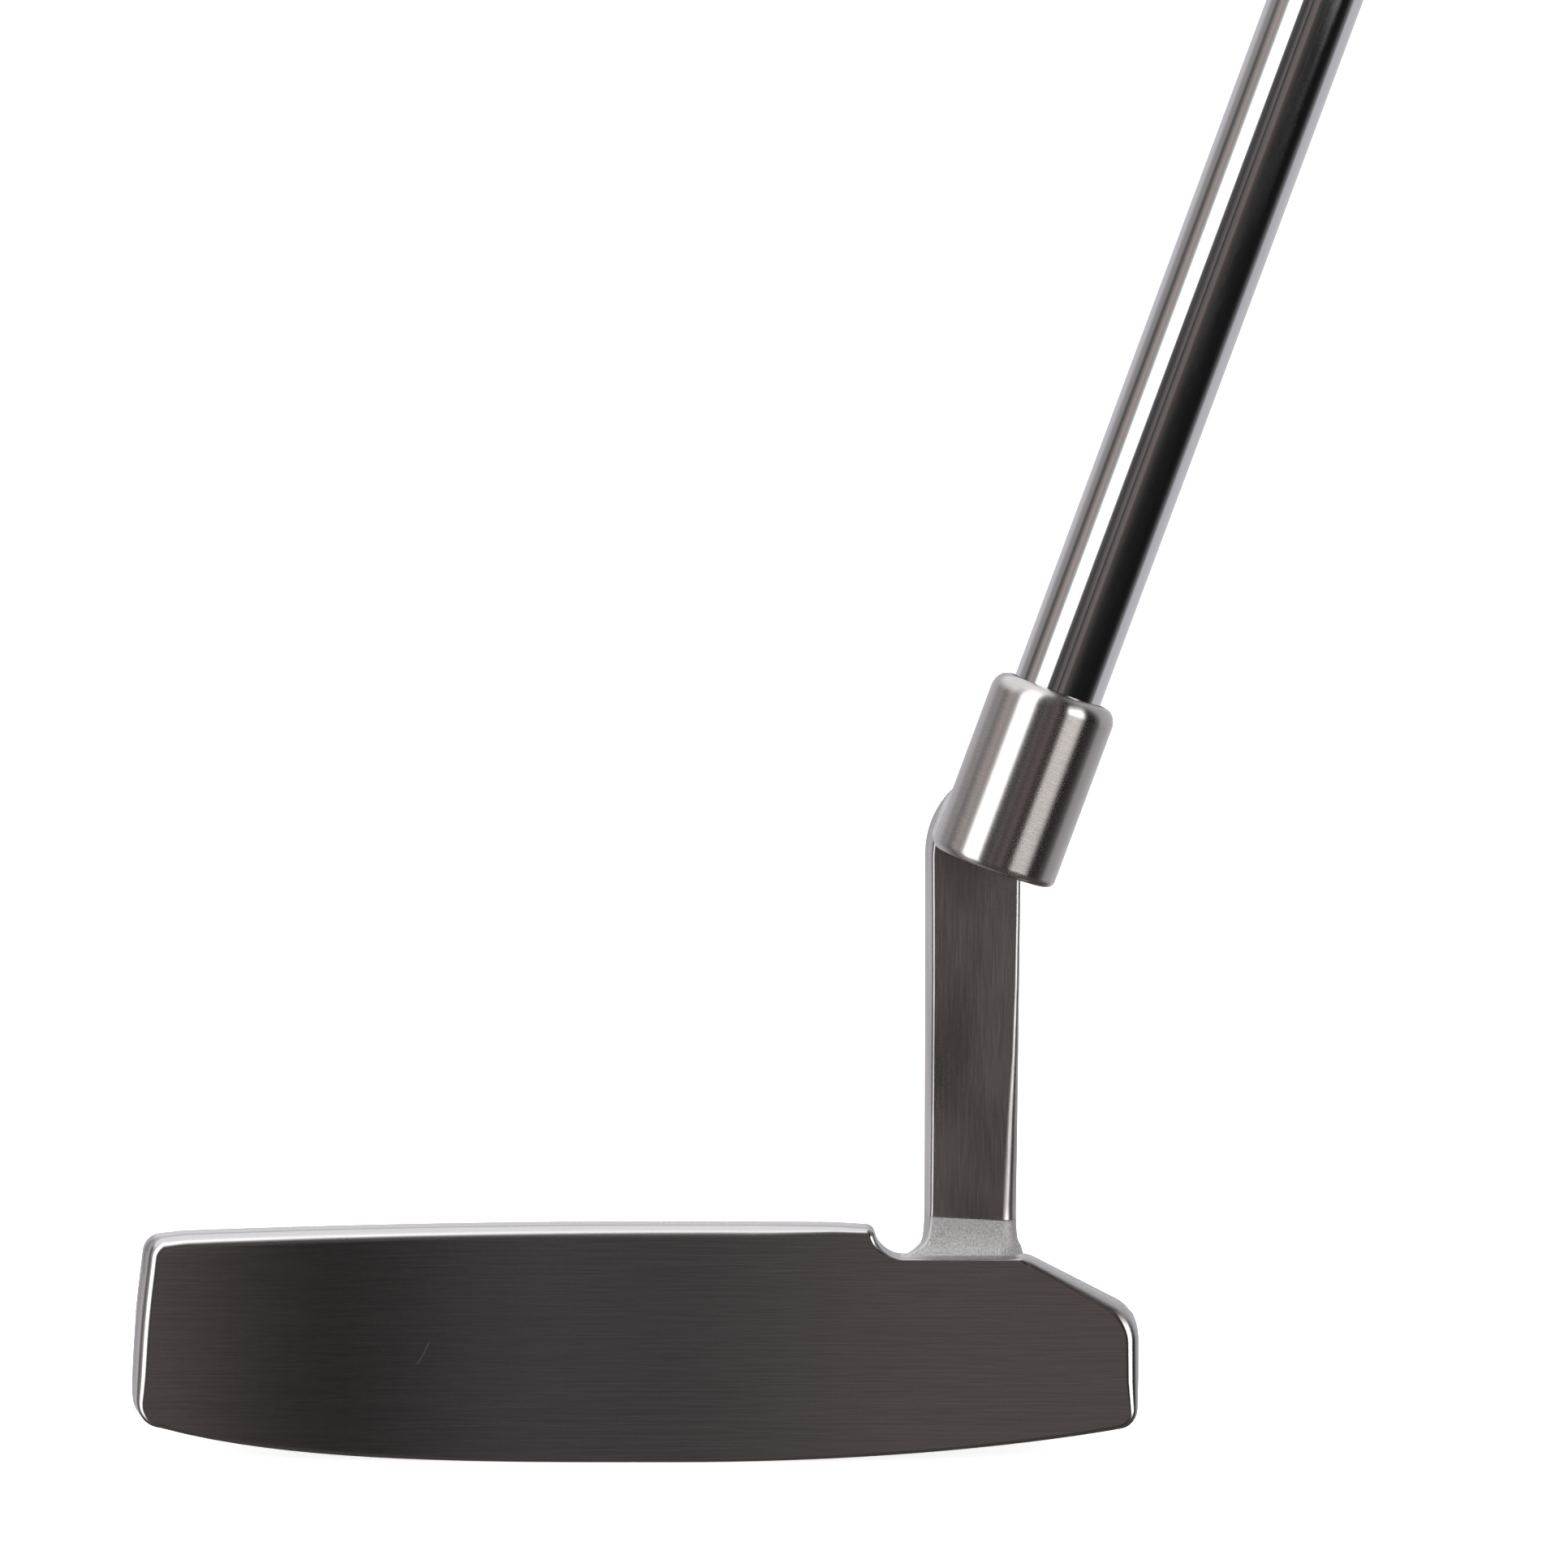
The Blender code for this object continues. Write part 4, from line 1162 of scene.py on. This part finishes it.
# degrees up from the front horizon, over the top and down to the back horizon
OVERHEAD = (
    (24, (0.005, 0.005, 0.005)),
    (40, (0.02, 0.02, 0.02)),
    (58, (0.1, 0.1, 0.1)),
    (70, (0.4, 0.4, 0.4)),
    (80, (1.0, 1.0, 1.0)),
    (140, (0.9, 0.9, 0.9)),
    (158, (0.6, 0.6, 0.6)),
    (166, (0.0, 0.0, 0.0)),
)
over = product(tree, sums(tree, "ARCTAN2", world_parts["Z"], front), DEGREES)
overhead = product(
    tree,
    bands(tree, spread(tree, over, 0.0, 1.0, 0.0, 180.0), OVERHEAD, 0.0, 180.0),
    spread(tree, world_parts["Z"], 0.0, 1.0, 0.42, 0.62),
    spread(tree, world_parts["X"], 1.0, 0.1, 0.12, 0.36),
)
# a card of light above and to the right, which only a brushed surface spreads down to
CARD = (
    (-180, (0.0, 0.0, 0.0)),
    (26, (0.0, 0.0, 0.0)),
    (31, (1.0, 1.0, 1.0)),
    (58, (1.0, 1.0, 1.0)),
    (66, (0.0, 0.0, 0.0)),
    (180, (0.0, 0.0, 0.0)),
)
card = product(
    tree,
    bands(tree, across, CARD, *WHOLE_CIRCLE),
    spread(tree, room["Z"], 0.0, 1.0, 0.1, 0.13),
    spread(tree, world_parts["Z"], 1.0, 0.0, 0.26, 0.4),
)
with_card = tint(tree, card, walls, (4.8, 4.65, 4.55))
with_top = tint(tree, overhead, with_card, (1.52, 1.52, 1.54))
down = spread(tree, world_parts["Z"], 0.0, 1.0, -0.36, -0.6)
reflected = tint(tree, down, with_top, (0.11, 0.095, 0.088))
path = tree.nodes.new("ShaderNodeLightPath")
seen = tint(tree, path.outputs["Is Glossy Ray"], (1.9, 1.9, 1.9), reflected)
light = add_node(tree, "ShaderNodeBackground", {"Color": seen, "Strength": 1.0})
add_node(tree, "ShaderNodeOutputWorld", {"Surface": light.outputs["Background"]})

for name, place, size, power in (
    ("key_soft_box", (-1.6, -1.8, 1.9), 1.2, 26.0),
    ("fill_soft_box", (1.8, -1.2, 1.2), 1.4, 9.0),
):
    lamp = bpy.data.lights.new(name, "AREA")
    lamp.size = size
    lamp.energy = power
    lamp_object = bpy.data.objects.new(name, lamp)
    bpy.context.scene.collection.objects.link(lamp_object)
    lamp_object.location = place
    towards = Vector((0.15, 0.0, 0.4)) - lamp_object.location
    lamp_object.rotation_euler = towards.to_track_quat("-Z", "Y").to_euler()
    lamp_object.visible_glossy = False

# --- Camera ------------------------------------------------------------------------------
# A long lens in front of the club and a little above the head, aimed slightly down, so that
# the face is seen nearly square on.

CAMERA_PLACE = (0.01624, -0.65444, 0.11990)
CAMERA_DIP = math.radians(4.0)
camera_data = bpy.data.cameras.new("camera")
camera_data.sensor_width = 36.0
camera_data.lens = 136.02
camera_data.clip_start = 0.01
camera = bpy.data.objects.new("camera", camera_data)
bpy.context.scene.collection.objects.link(camera)
camera.location = CAMERA_PLACE
camera.rotation_euler = (math.pi / 2.0 - CAMERA_DIP, 0.0, 0.0)
bpy.context.scene.camera = camera
bpy.context.scene.view_settings.view_transform = "Standard"
